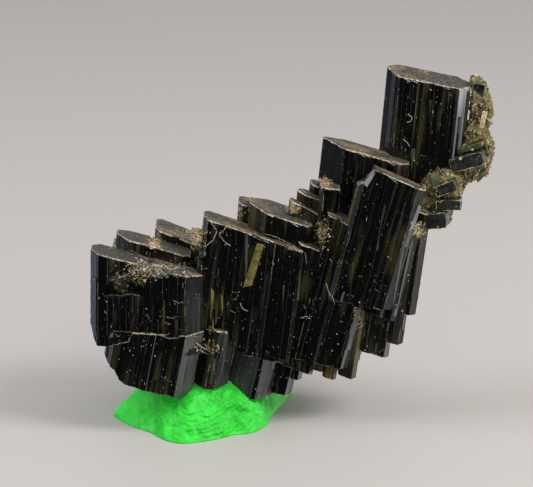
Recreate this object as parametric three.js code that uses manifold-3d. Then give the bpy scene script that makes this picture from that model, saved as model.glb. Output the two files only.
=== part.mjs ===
// A stepped group of aegirine crystals, grown side by side, with a crust of small crystals and rock on
// its upper right end, standing in a lump of soft mounting putty.
// Millimetres, +Z up. The front faces -Y. The origin is under the middle of the whole object, on the
// surface that the putty stands on.
import * as THREE from "three";
import { mergeVertices } from "three/addons/utils/BufferGeometryUtils.js";
import Module from "manifold-3d";

const wasm = await Module();
wasm.setup();

// Driving dimensions.
const gap = 0.3; // clearance between two separate pieces
const ribWidth = 1.15; // mean width of the growth ribs along a crystal
const ribRelief = 0.14; // how far a rib stands out
const ribFlank = 0.07; // width of the slope between two ribs
const shards = { // broken bits in the crust
  count: 60,
  smallest: [0.7, 0.4, 0.5], // long, high and deep
  spread: [1.3, 0.6, 0.9], // by how much the largest are longer, higher and deeper
  outward: [0.15, 0.8], // from the middle to the edge of a lump: the least, and how much more at most
};

const colours = { crystal: 0x0d0e0b, crust: 0x77703f, putty: 0x2fe03a };

const radians = THREE.MathUtils.degToRad;

// A repeatable number from 0 to 1 for each k.
function scatter(k) {
  const s = Math.sin(k * 12.9898) * 43758.5453;
  return s - Math.floor(s);
}

// Each crystal is given by the corner where its front face, its left bevel and its top meet.
// at: x and z of that corner. front: y of the front face. wide, deep: the front face and the depth.
// long: from the corner to the foot. left, right: a bevel's width across and its depth.
// lean: of the long axis to the right. fall: of the top and foot faces, down to the right.
// foot: a fall of its own for the foot face. rise: of the top face, up to the back.
const crystals = [
  // The block on the left, from the front to the back.
  { name: "left block", at: [-19.2, 19.1], front: -4.9, wide: 8.6, deep: 3.4, long: 9.6, left: [0.8, 1.3],
    right: [2.1, 2.1], lean: 1.5, fall: 15, foot: 8 },
  { name: "left foot", at: [-17.6, 11.1], front: -5.1, wide: 6.9, deep: 4.6, long: 5.6, left: [0.7, 1.2],
    right: [1.7, 1.9], lean: 11, fall: 4, foot: 13 },
  { name: "second step", at: [-16.4, 19.6], front: -1.9, wide: 5.4, deep: 3.3, long: 14.5, left: [1.2, 1.2],
    right: [0.8, 0.9], lean: 2, fall: 17, foot: 10 },
  { name: "third step", at: [-13.4, 19.6], front: 1.0, wide: 5.2, deep: 4.2, long: 14.2, left: [0.5, 0.9],
    right: [0.8, 0.9], lean: 3, fall: 22, foot: 12 },
  // The broad face in the middle and its neighbours.
  { name: "broad face", at: [-8.4, 22.1], front: -3.2, wide: 9.5, deep: 3.2, long: 13.2, left: [0.5, 1.0],
    right: [0.3, 0.6], lean: 7, fall: 19.5, foot: 13 },
  { name: "narrow neighbour", at: [0.7, 19.5], front: -2.8, wide: 3.0, deep: 3.0, long: 12.9,
    left: [0.3, 0.5], right: [0.4, 0.5], lean: 9, fall: 22, foot: 22 },
  { name: "low shoulder", at: [3.6, 22.4], front: -3.0, wide: 4.7, deep: 2.8, long: 15.4, left: [0.2, 0.4],
    right: [0.9, 1.1], lean: 13, fall: 20, foot: 14 },
  { name: "step behind the broad face", at: [-2.7, 22.5], front: -2.3, wide: 4.1, deep: 5.0, long: 14.0,
    left: [1.7, 1.8], right: [0.6, 1.1], lean: 6, fall: 19, foot: 15 },
  { name: "slim step", at: [-5.1, 22.6], front: 0.2, wide: 1.3, deep: 3.2, long: 14.5, left: [0.4, 0.8],
    right: [0.3, 0.3], lean: 4, fall: 14, foot: 15 },
  // Small steps between the middle and the right.
  { name: "small step low", at: [-0.2, 23.2], front: -0.5, wide: 3.2, deep: 1.4, long: 9, left: [0.2, 0.4],
    right: [0.3, 0.4], lean: 7, fall: 27, foot: 20 },
  { name: "small step middle", at: [1.1, 23.6], front: 0.4, wide: 2.4, deep: 2.2, long: 11, left: [0.7, 0.8],
    right: [0.3, 0.5], lean: 6, fall: 20, foot: 20 },
  { name: "small step high", at: [2.1, 24.2], front: 1.7, wide: 2.4, deep: 2.2, long: 12, left: [0.4, 0.6],
    right: [0.3, 0.5], lean: 6, fall: 22, foot: 20 },
  { name: "round column", at: [3.0, 24.9], front: -1.5, wide: 1.1, deep: 3.2, long: 11, left: [0.4, 0.6],
    right: [0.5, 0.4], lean: 4, fall: 10, foot: 20 },
  // The tall crystals on the right.
  { name: "second tallest", at: [5.1, 28.4], front: 0.2, wide: 5.4, deep: 3.6, long: 19, left: [2.2, 2.0],
    right: [1.2, 1.2], lean: 6, fall: 16.5, foot: 15 },
  { name: "tallest", at: [10.5, 35.1], front: 2.6, wide: 6.0, deep: 3.0, long: 12.6, left: [1.2, 1.7],
    right: [1.2, 1.1], lean: 4.5, fall: 12, foot: -12, rise: 11 },
  { name: "front right", at: [7.3, 27.5], front: -3.4, wide: 5.2, deep: 2.0, long: 14.2, left: [0.6, 0.5],
    right: [0.9, 0.9], lean: 14.5, fall: 24, foot: 12 },
  { name: "right strip", at: [9.4, 22.5], front: -2.4, wide: 2.6, deep: 3.0, long: 10.6, left: [0.3, 0.3],
    right: [0.9, 1.0], lean: 12, fall: 24, foot: 22 },
  { name: "right edge", at: [11.9, 22.6], front: -1.3, wide: 1.1, deep: 3.0, long: 10.9, left: [0.3, 0.3],
    right: [0.7, 0.9], lean: 7, fall: 24, foot: 20 },
  // Feet that show under the broad face and on the right.
  { name: "foot strip", at: [0.9, 12], front: -2.5, wide: 2.7, deep: 2.6, long: 5.6, left: [0.2, 0.4],
    right: [0.3, 0.4], lean: 7, fall: 15, foot: 14 },
  { name: "amber foot", at: [4.5, 14], front: -2.5, wide: 0.9, deep: 2.4, long: 8.9, left: [0.2, 0.3],
    right: [0.3, 0.4], lean: 9, fall: 20, foot: 18 },
  { name: "olive foot", at: [5.9, 14], front: -2.1, wide: 1.2, deep: 2.8, long: 8.8, left: [0.2, 0.3],
    right: [0.5, 0.6], lean: 8, fall: 20, foot: 22 },
  { name: "right foot", at: [8.2, 17], front: -1.7, wide: 2.2, deep: 3.0, long: 9.4, left: [0.5, 0.5],
    right: [0.6, 0.8], lean: 8, fall: 20, foot: 18 },
  { name: "last foot", at: [10.6, 17], front: -1.5, wide: 1.0, deep: 2.6, long: 8.5, left: [0.2, 0.3],
    right: [0.5, 0.6], lean: 7, fall: 20, foot: 16 },
  // The feet in the putty.
  { name: "middle foot", at: [-8.0, 9.2], front: -3.7, wide: 0.9, deep: 5.0, long: 4.9, left: [1.2, 1.4],
    right: [1.3, 1.5], lean: 11, fall: 12, foot: 2 },
  { name: "sharp foot", at: [-2.5, 11], front: -2.6, wide: 0.4, deep: 5.4, long: 8.3, left: [3.5, 1.6],
    right: [2.3, 2.0], lean: 12.8, fall: 18, foot: 3 },
  { name: "grooved foot", at: [-0.6, 11], front: -1.5, wide: 1.5, deep: 4.4, long: 8.1, left: [0.9, 0.6],
    right: [0.7, 0.9], lean: 12.5, fall: 18, foot: 9 },
  { name: "foot end", at: [1.2, 11], front: -1.3, wide: 0.5, deep: 3.8, long: 6.6, left: [0.6, 0.5],
    right: [0.4, 0.6], lean: 11, fall: 18, foot: 14 },
  // The back, which the front hides.
  { name: "back left", at: [-17.0, 16.8], front: 2.4, wide: 6.2, deep: 4.8, long: 12.0, left: [1.4, 1.6],
    right: [1.5, 1.6], lean: 2, fall: 18, foot: 10 },
  { name: "back left ridge", at: [-12.8, 17.4], front: 3.8, wide: 4.6, deep: 3.4, long: 12.4,
    left: [1.0, 1.2], right: [1.3, 1.4], lean: 4, fall: 19, foot: 12 },
  { name: "back middle", at: [-9.0, 18.2], front: -0.4, wide: 6.4, deep: 6.8, long: 13.8, left: [1.4, 1.6],
    right: [1.4, 1.6], lean: 7, fall: 19, foot: 14 },
  { name: "back ridge", at: [-4.2, 17.0], front: 3.0, wide: 4.2, deep: 3.6, long: 11.4, left: [1.3, 1.5],
    right: [1.1, 1.2], lean: 8, fall: 20, foot: 16 },
  { name: "back right", at: [2.2, 20.2], front: -0.6, wide: 5.6, deep: 3.2, long: 12.6, left: [1.2, 1.4],
    right: [1.2, 1.4], lean: 9, fall: 20, foot: 18 },
  { name: "back shoulder", at: [8.4, 24.6], front: 0.45, wide: 3.4, deep: 3.55, long: 9.0, left: [0.9, 1.1],
    right: [0.9, 1.1], lean: 8, fall: 22, foot: 22 },
];

// Pieces broken out of the front faces. outline: x, z and the rise at the back of the break.
const leftBlockBreaks = [
  { name: "ragged top", near: -6, far: -2.8, outline: [
    [-15.3, 18.5, 0.0], [-15.7, 17.4, 0.7], [-14.9, 16.9, 1.0], [-14.1, 16.7, 0.9], [-13.0, 16.3, 1.2],
    [-12.3, 16.9, 0.7], [-11.5, 16.8, 1.0], [-10.4, 17.0, 0.9], [-9.7, 18.2, 0.8], [-8.9, 19.0, 0.8],
    [-8.2, 19.6, 1.0], [-7.4, 21.2, 0.8], [-7.0, 24.0, 0], [-15.3, 24.0, 0]] },
  { name: "left corner", near: -8, far: 4, outline: [
    [-24, 12.7, 0], [-20.4, 12.7, 0], [-20.1, 10.8, 0.5], [-19.6, 9.4, 0.4], [-19.0, 8.7, 0.6],
    [-18.7, 7.8, 0.4], [-17.9, 7.1, 0.4], [-17.5, 5.9, 0.3], [-16.2, 5.3, 0.2], [-14.7, 4.7, 0.2],
    [-13.4, 4.4, 0.2], [-13.0, 1, 0], [-24, 1, 0]] },
];
const leftFootBreak = { near: -7, far: -4.94, outline: [
  [-20, 8.7, 0], [-19.1, 9.0, 0], [-18.4, 9.5, 0], [-16.4, 10.1, 0], [-16.0, 10.9, 0], [-14.2, 11.0, 0],
  [-13.2, 10.8, 0], [-12.2, 10.4, 0], [-11.1, 10.6, 0], [-9.3, 11.0, 0], [-8.0, 11.4, 0], [-8.0, 14, 0],
  [-20, 14, 0]] };
const broadFaceBreak = { near: -6, far: -2.1, outline: [
  [-11, 10.7, 0], [-8.9, 10.6, 0.6], [-7.6, 10.8, 0.8], [-6.8, 10.3, 0.6], [-6.1, 9.4, 0.4], [-6.0, 8.7, 0.2],
  [-4.9, 8.5, 0], [-4.9, 7, 0], [-11, 7, 0]] };
const frontRightBreak = { near: -6, far: 0, outline: [
  [5.2, 25.0, 0], [6.95, 25.9, 0], [8.0, 27.2, 0], [8.2, 29.5, 0], [5, 29.5, 0]] };

// Thin flakes lost from the front faces. floor: y of the pit's floor. outline: x and z.
const flakes = [
  { name: "black pit", floor: -4.5, outline: [
    [-18.7, 14.7], [-17.0, 14.6], [-15.9, 14.9], [-14.8, 14.6], [-14.6, 15.4], [-15.2, 15.9], [-16.3, 16.9],
    [-17.3, 16.5], [-18.2, 16.2], [-18.7, 15.6]] },
  { name: "shoulder flake", floor: -3.15, outline: [
    [1.3, 18.9], [1.8, 18.4], [1.6, 17.3], [1.9, 16.2], [3.2, 15.8], [3.5, 18.1], [2.4, 18.9]] },
];

// The crust: two lumps. outline: x, z. near, far: y of its faces.
const crustLumps = [
  { near: 2.9, far: 6.4, outline: [
    [16.5, 33.6], [17.5, 34.9], [18.3, 34.8], [18.9, 34.5], [19.2, 33.8], [19.5, 32.9], [19.9, 31.9],
    [20.1, 30.9], [19.6, 30.2], [19.4, 29.3], [19.6, 28.5], [20.2, 27.3], [20.2, 26.2], [19.8, 25.2],
    [19.7, 24.3], [18.8, 24.0], [17.7, 23.6], [16.3, 23.4], [15.4, 24.6], [14.6, 25.6], [15.0, 27.5],
    [15.8, 30.3], [16.2, 32.4]] },
  { near: -0.1, far: 4.6, outline: [
    [12.7, 24.0], [13.4, 25.2], [14.6, 25.4], [16.1, 25.7], [17.2, 25.3], [16.8, 23.9], [16.3, 22.4],
    [15.8, 21.5], [15.7, 20.3], [15.2, 20.1], [13.4, 20.1], [12.2, 20.8], [12.1, 22.5]] },
];

// The small crystals in the crust. at: the middle. size: long, high, deep. tilt: of the long axis, up to
// the right. turn: about the vertical.
const crustCrystals = [
  { at: [17.4, 2.4, 26.6], size: [3.5, 1.35, 1.6], tilt: 19, turn: -14 },
  { at: [17.9, 3.0, 27.9], size: [2.3, 0.45, 1.5], tilt: 21, turn: -14 },
  { at: [18.4, 3.5, 28.7], size: [1.7, 0.35, 1.2], tilt: 30, turn: -8 },
  { at: [15.2, 0.9, 24.2], size: [2.0, 0.8, 1.6], tilt: 24, turn: -10 },
  { at: [15.5, 0.5, 22.8], size: [2.3, 0.8, 2.0], tilt: 4, turn: -8 },
  { at: [14.4, 0.1, 21.2], size: [2.6, 1.7, 2.4], tilt: 6, turn: -6 },
  { at: [14.0, 0.7, 24.9], size: [0.8, 1.5, 1.0], tilt: 8, turn: 10 },
  { at: [18.0, 3.8, 33.6], size: [1.4, 1.5, 1.6], tilt: -8, turn: -12 },
  { at: [18.9, 3.1, 30.6], size: [0.4, 1.8, 0.6], tilt: -10, turn: -20 },
];

// The putty. topCentre: where its sides lean to. drawnIn: how far towards it. lower: by how much the front
// of the top is lower, for each millimetre. roundness: of the sides. swell: of the folds.
const putty = {
  topCentre: [-8.2, -0.2], height: 5.8, lower: 0.124, roundness: 1.9, drawnIn: 0.86, swell: 0.16,
  rings: 13, sides: 60,
};

// Finger marks in the putty.
const puttyDents = [
  { at: [-8.9, -5.3, 3.6], radius: 0.9, deep: 0.55 },
  { at: [-9.5, -5.9, 2.6], radius: 0.8, deep: 0.45 },
  { at: [-14.6, -3.2, 2.6], radius: 1.2, deep: 0.4 },
  { at: [-5.4, -3.6, 1.9], radius: 1.1, deep: 0.4 },
];

// The putty's edge on the floor, x and y, from the left end round the front.
const puttyEdge = [
  [-18.4, 0.9], [-17.7, -1.0], [-16.2, -2.9], [-14.4, -4.4], [-12.8, -6.4], [-10.8, -7.2], [-7.9, -6.2],
  [-5.9, -5.0], [-4.4, -4.6], [-3.2, -3.4], [-2.5, -1.9], [-2.4, -0.7], [-1.7, 1.4], [-0.9, 3.6],
  [-0.4, 5.2], [0.1, 6.7], [-2.6, 7.1], [-7.6, 7.1], [-12.2, 6.4], [-16.2, 4.4],
];

// A closed solid from three.js triangles, as manifold-3d holds it.
function solidOf(geometry) {
  const bare = geometry.index ? geometry.toNonIndexed() : geometry.clone();
  for (const key of Object.keys(bare.attributes)) {
    if (key !== "position") bare.deleteAttribute(key);
  }
  const merged = mergeVertices(bare, 1e-5);
  return new wasm.Manifold(new wasm.Mesh({
    numProp: 3,
    vertProperties: merged.attributes.position.array,
    triVerts: new Uint32Array(merged.index.array),
  }));
}

function geometryOf(solid) {
  const mesh = solid.getMesh();
  const geometry = new THREE.BufferGeometry();
  geometry.setAttribute("position", new THREE.BufferAttribute(new Float32Array(mesh.vertProperties), 3));
  geometry.setIndex(new THREE.BufferAttribute(new Uint32Array(mesh.triVerts), 1));
  return geometry;
}

// The biggest closed body of a solid, without crumbs and inner hollows.
function largest(solid) {
  return solid.decompose().reduce((a, b) => (b.volume() > a.volume() ? b : a));
}

// A solid through rings of points that have the same count, capped at both ends.
function loft(rings, flatRing) {
  const count = rings[0].length;
  const last = (rings.length - 1) * count;
  const index = [];
  for (let r = 0; r < last; r += count) {
    for (let i = 0; i < count; i++) {
      const j = (i + 1) % count;
      index.push(r + i, r + j, r + count + j, r + i, r + count + j, r + count + i);
    }
  }
  for (const [a, b, c] of THREE.ShapeUtils.triangulateShape(flatRing, [])) {
    index.push(c, b, a);
    index.push(last + a, last + b, last + c);
  }
  const geometry = new THREE.BufferGeometry().setFromPoints(rings.flat());
  geometry.setIndex(index);
  return solidOf(geometry);
}

// The growth ribs across a front face, as points from its left end to its right end.
function ribs(wide, seed) {
  const points = [];
  let u = 0;
  let depth = 0;
  for (let k = 0; u < wide; k++) {
    points.push([u, depth]);
    u = Math.min(wide, u + ribWidth * (0.35 + 1.3 * scatter(seed + k)));
    if (wide - u < ribWidth * 0.3) u = wide;
    points.push([u - ribFlank, depth]);
    depth = ribRelief * scatter(seed + k + 50.5);
  }
  points[points.length - 1] = [wide, 0];
  return points;
}

// The depth of the bevel at the back of a side whose front bevel has the depth given.
function backBevel(deep, frontBevel) {
  return Math.min(frontBevel * 0.7, (deep - frontBevel) * 0.7);
}

// One crystal, or with grow the same crystal made larger all round by that much. Its section is drawn in
// across and away, and each end is cut off by its own slanting face.
function crystal(c, seed, grow = 0) {
  const lean = radians(c.lean);
  const [leftWide, leftDeep] = c.left;
  const [rightWide, rightDeep] = c.right;
  const front = grow ? [[-grow / 2, -grow], [c.wide + grow / 2, -grow]] : ribs(c.wide, seed);
  const section = [
    ...front,
    [c.wide + rightWide + grow, rightDeep - grow / 2],
    [c.wide + rightWide + grow, c.deep - backBevel(c.deep, rightDeep) + grow / 2],
    [c.wide + grow / 2, c.deep + grow],
    [-grow / 2, c.deep + grow],
    [-leftWide - grow, c.deep - backBevel(c.deep, leftDeep) + grow / 2],
    [-leftWide - grow, leftDeep - grow / 2],
  ];
  const place = ([across, away], fallAngle, drop, riseAngle = 0) => {
    const fall = Math.tan(radians(fallAngle));
    const slope = (Math.sin(lean) - fall * Math.cos(lean)) / (Math.cos(lean) + fall * Math.sin(lean));
    const along = across * slope - drop + away * Math.tan(radians(riseAngle));
    return new THREE.Vector3(
      c.at[0] + across * Math.cos(lean) + along * Math.sin(lean),
      c.front + away,
      c.at[1] - across * Math.sin(lean) + along * Math.cos(lean));
  };
  const foot = section.map((p) => place(p, c.foot ?? c.fall, c.long + grow));
  const top = section.map((p) => place(p, c.fall, -grow, c.rise));
  return loft([foot, top], section.map(([u, w]) => new THREE.Vector2(u, w)));
}

// A cutter whose outline stands in the front view and runs from near to far.
function cutter({ near, far, outline }) {
  const flat = outline.map(([x, z]) => new THREE.Vector2(x, z));
  const ordered = THREE.ShapeUtils.isClockWise(flat) ? [...outline].reverse() : outline;
  const front = ordered.map(([x, z]) => new THREE.Vector3(x, near, z));
  const back = ordered.map(([x, z, rise = 0]) => new THREE.Vector3(x, far, z + rise));
  return loft([back, front], ordered.map(([x, z]) => new THREE.Vector2(x, z)));
}

// All crystals grown together, or with grow the room that they need.
function crystalGroup(grow = 0) {
  const solids = crystals.map((c, i) => crystal(c, i * 7 + 1, grow));
  if (grow) return wasm.Manifold.union(solids);
  const breakOut = (name, piece) => {
    const index = crystals.findIndex((c) => c.name === name);
    solids[index] = solids[index].subtract(cutter(piece));
  };
  for (const piece of leftBlockBreaks) {
    breakOut("left block", piece);
    breakOut("left foot", piece);
    breakOut("second step", piece);
  }
  breakOut("left foot", leftFootBreak);
  breakOut("broad face", broadFaceBreak);
  breakOut("front right", frontRightBreak);
  let group = wasm.Manifold.union(solids);
  for (const f of flakes) group = group.subtract(cutter({ near: -8, far: f.floor, outline: f.outline }));
  return largest(group);
}

// The rings of a lump from its far face to its near face. at: the share of its depth. scale: of the outline.
const lumpRings = [
  { at: 1, scale: 0.72 }, { at: 0.7, scale: 0.97 }, { at: 0.35, scale: 1 }, { at: 0, scale: 0.8 },
];

// A lump with the outline in the front view, drawn in at its near and far faces.
function lump({ near, far, outline }) {
  const flat = outline.map(([x, z]) => new THREE.Vector2(x, z));
  const ordered = THREE.ShapeUtils.isClockWise(flat) ? [...flat].reverse() : flat;
  const middle = ordered.reduce((sum, p) => sum.add(p), new THREE.Vector2()).divideScalar(ordered.length);
  const rings = lumpRings.map(({ at, scale }) => ordered.map((p) => new THREE.Vector3(
    middle.x + (p.x - middle.x) * scale,
    near + (far - near) * at,
    middle.y + (p.y - middle.y) * scale)));
  return loft(rings, ordered);
}

// A small block of the given size, turned as told.
function block([x, y, z], [long, high, deep], tilt, turn, roll = 0) {
  const geometry = new THREE.BoxGeometry(long, deep, high);
  geometry.rotateX(radians(roll));
  geometry.rotateY(radians(-tilt));
  geometry.rotateZ(radians(turn));
  geometry.translate(x, y, z);
  return solidOf(geometry);
}

// Shards spread round the edge of the crust and over its faces. Every third one is on the lower lump.
function crustShards() {
  const made = [];
  for (let k = 0; k < shards.count; k++) {
    const { near, far, outline } = crustLumps[k % 3 === 2 ? 1 : 0];
    const corners = outline.map(([x, z]) => new THREE.Vector2(x, z));
    const middle = corners.reduce((sum, p) => sum.add(p), new THREE.Vector2()).divideScalar(corners.length);
    const corner = corners[Math.floor(scatter(k + 0.3) * corners.length)];
    const spot = middle.lerp(corner, shards.outward[0] + shards.outward[1] * scatter(k + 7.7));
    const away = near + 0.2 + (far - near - 0.6) * scatter(k + 3.1);
    const size = shards.smallest.map((least, i) => least + shards.spread[i] * scatter(k + 1.9 + 3.45 * i));
    const [tilt, turn, roll] = [180 * scatter(k + 2.2), 90 * scatter(k + 4.4), 60 * scatter(k + 6.6)];
    made.push(block([spot.x, away, spot.y], size, tilt, turn, roll));
  }
  return made;
}

function crustSolid(room) {
  const grown = crustCrystals.map((c) => block(c.at, c.size, c.tilt, c.turn));
  const rough = wasm.Manifold.union([...crustLumps.map(lump), ...crustShards(), ...grown]);
  return largest(rough.subtract(room));
}

// A point of the putty above the edge point p, where t runs from 0 on the floor to 1 at the top.
function puttyPoint(p, t, fold) {
  const middle = new THREE.Vector3(...putty.topCentre, 0);
  const point = p.clone().lerp(middle, t * putty.drawnIn);
  if (t === 0) return point;
  point.z = (putty.height + putty.lower * p.y) * (1 - (1 - t) ** putty.roundness);
  const outward = p.clone().sub(middle).setZ(0).normalize();
  point.addScaledVector(outward, putty.swell * Math.sin(fold) * Math.sin(Math.PI * t));
  for (const dent of puttyDents) {
    const near = point.distanceTo(new THREE.Vector3(...dent.at)) / dent.radius;
    point.addScaledVector(outward, -dent.deep * Math.exp(-near * near));
  }
  return point;
}

// The putty, from its edge on the floor to its top, where it is pressed against the crystals.
function puttySolid(room) {
  const corners = puttyEdge.map(([x, y]) => new THREE.Vector3(x, y, 0));
  const edge = new THREE.CatmullRomCurve3(corners, true).getSpacedPoints(putty.sides).slice(0, putty.sides);
  const rings = [];
  for (let r = 0; r <= putty.rings; r++) {
    rings.push(edge.map((p, i) => puttyPoint(p, r / putty.rings, i * 0.75 + r * 0.9)));
  }
  const solid = loft(rings, edge.map((p) => new THREE.Vector2(p.x, p.y)));
  return largest(solid.subtract(room));
}

function part(name, solid, colour, roughness) {
  const material = new THREE.MeshStandardMaterial({ color: colour, roughness, metalness: 0 });
  const mesh = new THREE.Mesh(geometryOf(solid), material);
  mesh.name = name;
  return mesh;
}

const room = crystalGroup(gap);
const specimen = new THREE.Group();
specimen.name = "aegirine_specimen";
specimen.add(
  part("aegirine_crystals", crystalGroup(), colours.crystal, 0.2),
  part("matrix_crust", crustSolid(room), colours.crust, 0.85),
  part("putty", puttySolid(room), colours.putty, 0.55),
);

export default specimen;
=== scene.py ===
import math
import random

import bmesh
import bpy
from mathutils import Matrix, Vector, noise
from mathutils.bvhtree import BVHTree
from mathutils.geometry import tessellate_polygon


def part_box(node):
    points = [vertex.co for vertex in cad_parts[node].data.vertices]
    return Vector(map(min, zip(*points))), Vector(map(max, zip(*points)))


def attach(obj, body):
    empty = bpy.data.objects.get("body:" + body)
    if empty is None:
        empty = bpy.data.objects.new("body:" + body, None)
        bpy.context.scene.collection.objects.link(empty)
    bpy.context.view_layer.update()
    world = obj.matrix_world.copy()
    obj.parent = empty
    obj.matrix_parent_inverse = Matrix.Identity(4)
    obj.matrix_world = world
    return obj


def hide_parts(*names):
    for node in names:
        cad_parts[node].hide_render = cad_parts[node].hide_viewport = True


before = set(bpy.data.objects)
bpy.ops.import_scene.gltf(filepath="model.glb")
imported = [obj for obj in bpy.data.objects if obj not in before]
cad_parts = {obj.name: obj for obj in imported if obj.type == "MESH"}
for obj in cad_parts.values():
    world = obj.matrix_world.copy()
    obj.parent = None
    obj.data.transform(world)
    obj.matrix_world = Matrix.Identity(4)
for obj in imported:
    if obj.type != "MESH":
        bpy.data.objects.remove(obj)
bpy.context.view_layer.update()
mm = 0.001  # everything below is written in millimetres
print("frame loaded")

# camera, at the height and angle of the photograph
camera = {"aim": (-2.7, 0.0, 18.63), "down": 18.0, "distance": 220.0, "focal": 2200.0, "picture": (533, 487)}
tilt = math.radians(camera["down"])
forward = Vector((0, math.cos(tilt), -math.sin(tilt)))
upward = Vector((0, math.sin(tilt), math.cos(tilt)))
eye = Vector(camera["aim"]) - forward * camera["distance"]
cameraData = bpy.data.cameras.new("photoCamera")
cameraData.lens = camera["focal"] / camera["picture"][0] * 36
cameraData.clip_start = 0.01
cameraData.clip_end = 20
cameraObject = bpy.data.objects.new("photoCamera", cameraData)
cameraObject.location = eye * mm
cameraObject.rotation_euler = (math.pi / 2 - tilt, 0, 0)
bpy.context.scene.collection.objects.link(cameraObject)
bpy.context.scene.camera = cameraObject
bpy.context.scene.view_settings.view_transform = "Standard"


def sightLine(px, py):
    across = (px - camera["picture"][0] / 2) / camera["focal"]
    up = (camera["picture"][1] / 2 - py) / camera["focal"]
    return (forward + Vector((across, 0, 0)) + upward * up).normalized()


def scatter(k):
    s = math.sin(k * 12.9898) * 43758.5453
    return s - math.floor(s)


# materials
def newMaterial(name):
    material = bpy.data.materials.new(name)
    material.use_nodes = True
    node, link = nodeTools(material.node_tree)
    return material, material.node_tree.nodes["Principled BSDF"], node, link


def nodeTools(tree):
    def node(kind, **values):
        made = tree.nodes.new(kind)
        for key, value in values.items():
            if key in made.inputs:
                made.inputs[key].default_value = value
            else:
                setattr(made, key, value)
        return made

    return node, tree.links.new


def streaks(node, link, scale, detail=3.0, rough=0.6, seedShift=0.0):
    # noise drawn out along the crystal: grain holds millimetres across, along and away
    grain = node("ShaderNodeAttribute", attribute_name="grain")
    mapping = node("ShaderNodeMapping")
    mapping.inputs["Scale"].default_value = scale
    mapping.inputs["Location"].default_value = (seedShift, seedShift * 0.7, seedShift * 1.3)
    link(grain.outputs["Vector"], mapping.inputs["Vector"])
    texture = node("ShaderNodeTexNoise", Scale=1.0, Detail=detail, Roughness=rough)
    link(mapping.outputs["Vector"], texture.inputs["Vector"])
    return texture.outputs["Fac"]


def speckle(node, link, scale, detail=4.0, rough=0.6):
    # noise with no direction, in object space; scale is in features per millimetre
    place = node("ShaderNodeTexCoord")
    texture = node("ShaderNodeTexNoise", Scale=scale * 1000, Detail=detail, Roughness=rough)
    link(place.outputs["Object"], texture.inputs["Vector"])
    return texture.outputs["Fac"]


def ramp(node, link, value, low, high, toLow=0.0, toHigh=1.0, kind="LINEAR"):
    made = node("ShaderNodeMapRange", interpolation_type=kind)
    made.inputs["From Min"].default_value = low
    made.inputs["From Max"].default_value = high
    made.inputs["To Min"].default_value = toLow
    made.inputs["To Max"].default_value = toHigh
    link(value, made.inputs["Value"])
    return made.outputs["Result"]


def blendColours(node, link, factor, a, b):
    made = node("ShaderNodeMix", data_type="RGBA")
    link(factor, made.inputs[0])
    for value, socket in ((a, made.inputs[6]), (b, made.inputs[7])):
        if isinstance(value, tuple):
            socket.default_value = (*value, 1.0)
        else:
            link(value, socket)
    return made.outputs[2]


def combine(node, link, operation, a, b):
    made = node("ShaderNodeMath", operation=operation)
    for value, socket in ((a, made.inputs[0]), (b, made.inputs[1])):
        if isinstance(value, (int, float)):
            socket.default_value = value
        else:
            link(value, socket)
    return made.outputs[0]


def bump(node, link, shader, height, depth, strength=1.0, under=None):
    made = node("ShaderNodeBump", Distance=depth * mm, Strength=strength)
    link(height, made.inputs["Height"])
    if under is not None:
        link(under, made.inputs["Normal"])
    if shader is not None:
        link(made.outputs["Normal"], shader.inputs["Normal"])
    return made.outputs["Normal"]


aegirine = {"black": (0.0025, 0.0026, 0.0024), "olive": (0.034, 0.031, 0.008), "pale": (0.22, 0.20, 0.15)}
marking = {"from": 0.71, "full": 0.76, "scratches": 0.5, "patchFrom": 0.45, "patchFull": 0.6, "relief": 0.02}


def makeSideMaterial(name, dark, light, spread, rough, ior=1.72):
    # spread: where in the noise the light colour starts and is full
    material, shader, node, link = newMaterial(name)
    broad = streaks(node, link, (1.5, 0.07, 1.5), 3.0, 0.6)
    patches = streaks(node, link, (0.32, 0.16, 0.32), 2.0, 0.5, 5.0)
    fine = streaks(node, link, (9.0, 0.22, 9.0), 2.0, 0.6, 9.0)
    grit = speckle(node, link, 6.0, 3.0, 0.65)
    amount = ramp(node, link, combine(node, link, "MULTIPLY", broad, patches), *spread)
    tint = blendColours(node, link, amount, dark, light)
    # pale dust and scratches, only in a few spots
    spots = ramp(node, link, grit, marking["from"], marking["full"])
    lines = ramp(node, link, fine, marking["from"], marking["full"], 0.0, marking["scratches"])
    worn = ramp(node, link, patches, marking["patchFrom"], marking["patchFull"])
    marks = combine(node, link, "MAXIMUM", spots, combine(node, link, "MULTIPLY", lines, worn))
    link(blendColours(node, link, marks, tint, aegirine["pale"]), shader.inputs["Base Color"])
    gritHalf = combine(node, link, "MULTIPLY", grit, 0.5)
    broadHalf = combine(node, link, "MULTIPLY", broad, 0.5)
    shine = ramp(node, link, combine(node, link, "ADD", gritHalf, broadHalf), 0.35, 0.65, *rough)
    link(shine, shader.inputs["Roughness"])
    shader.inputs["IOR"].default_value = ior
    first = bump(node, link, None, fine, marking["relief"], 0.6)
    bump(node, link, shader, grit, marking["relief"], 0.5, first)
    return material


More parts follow.
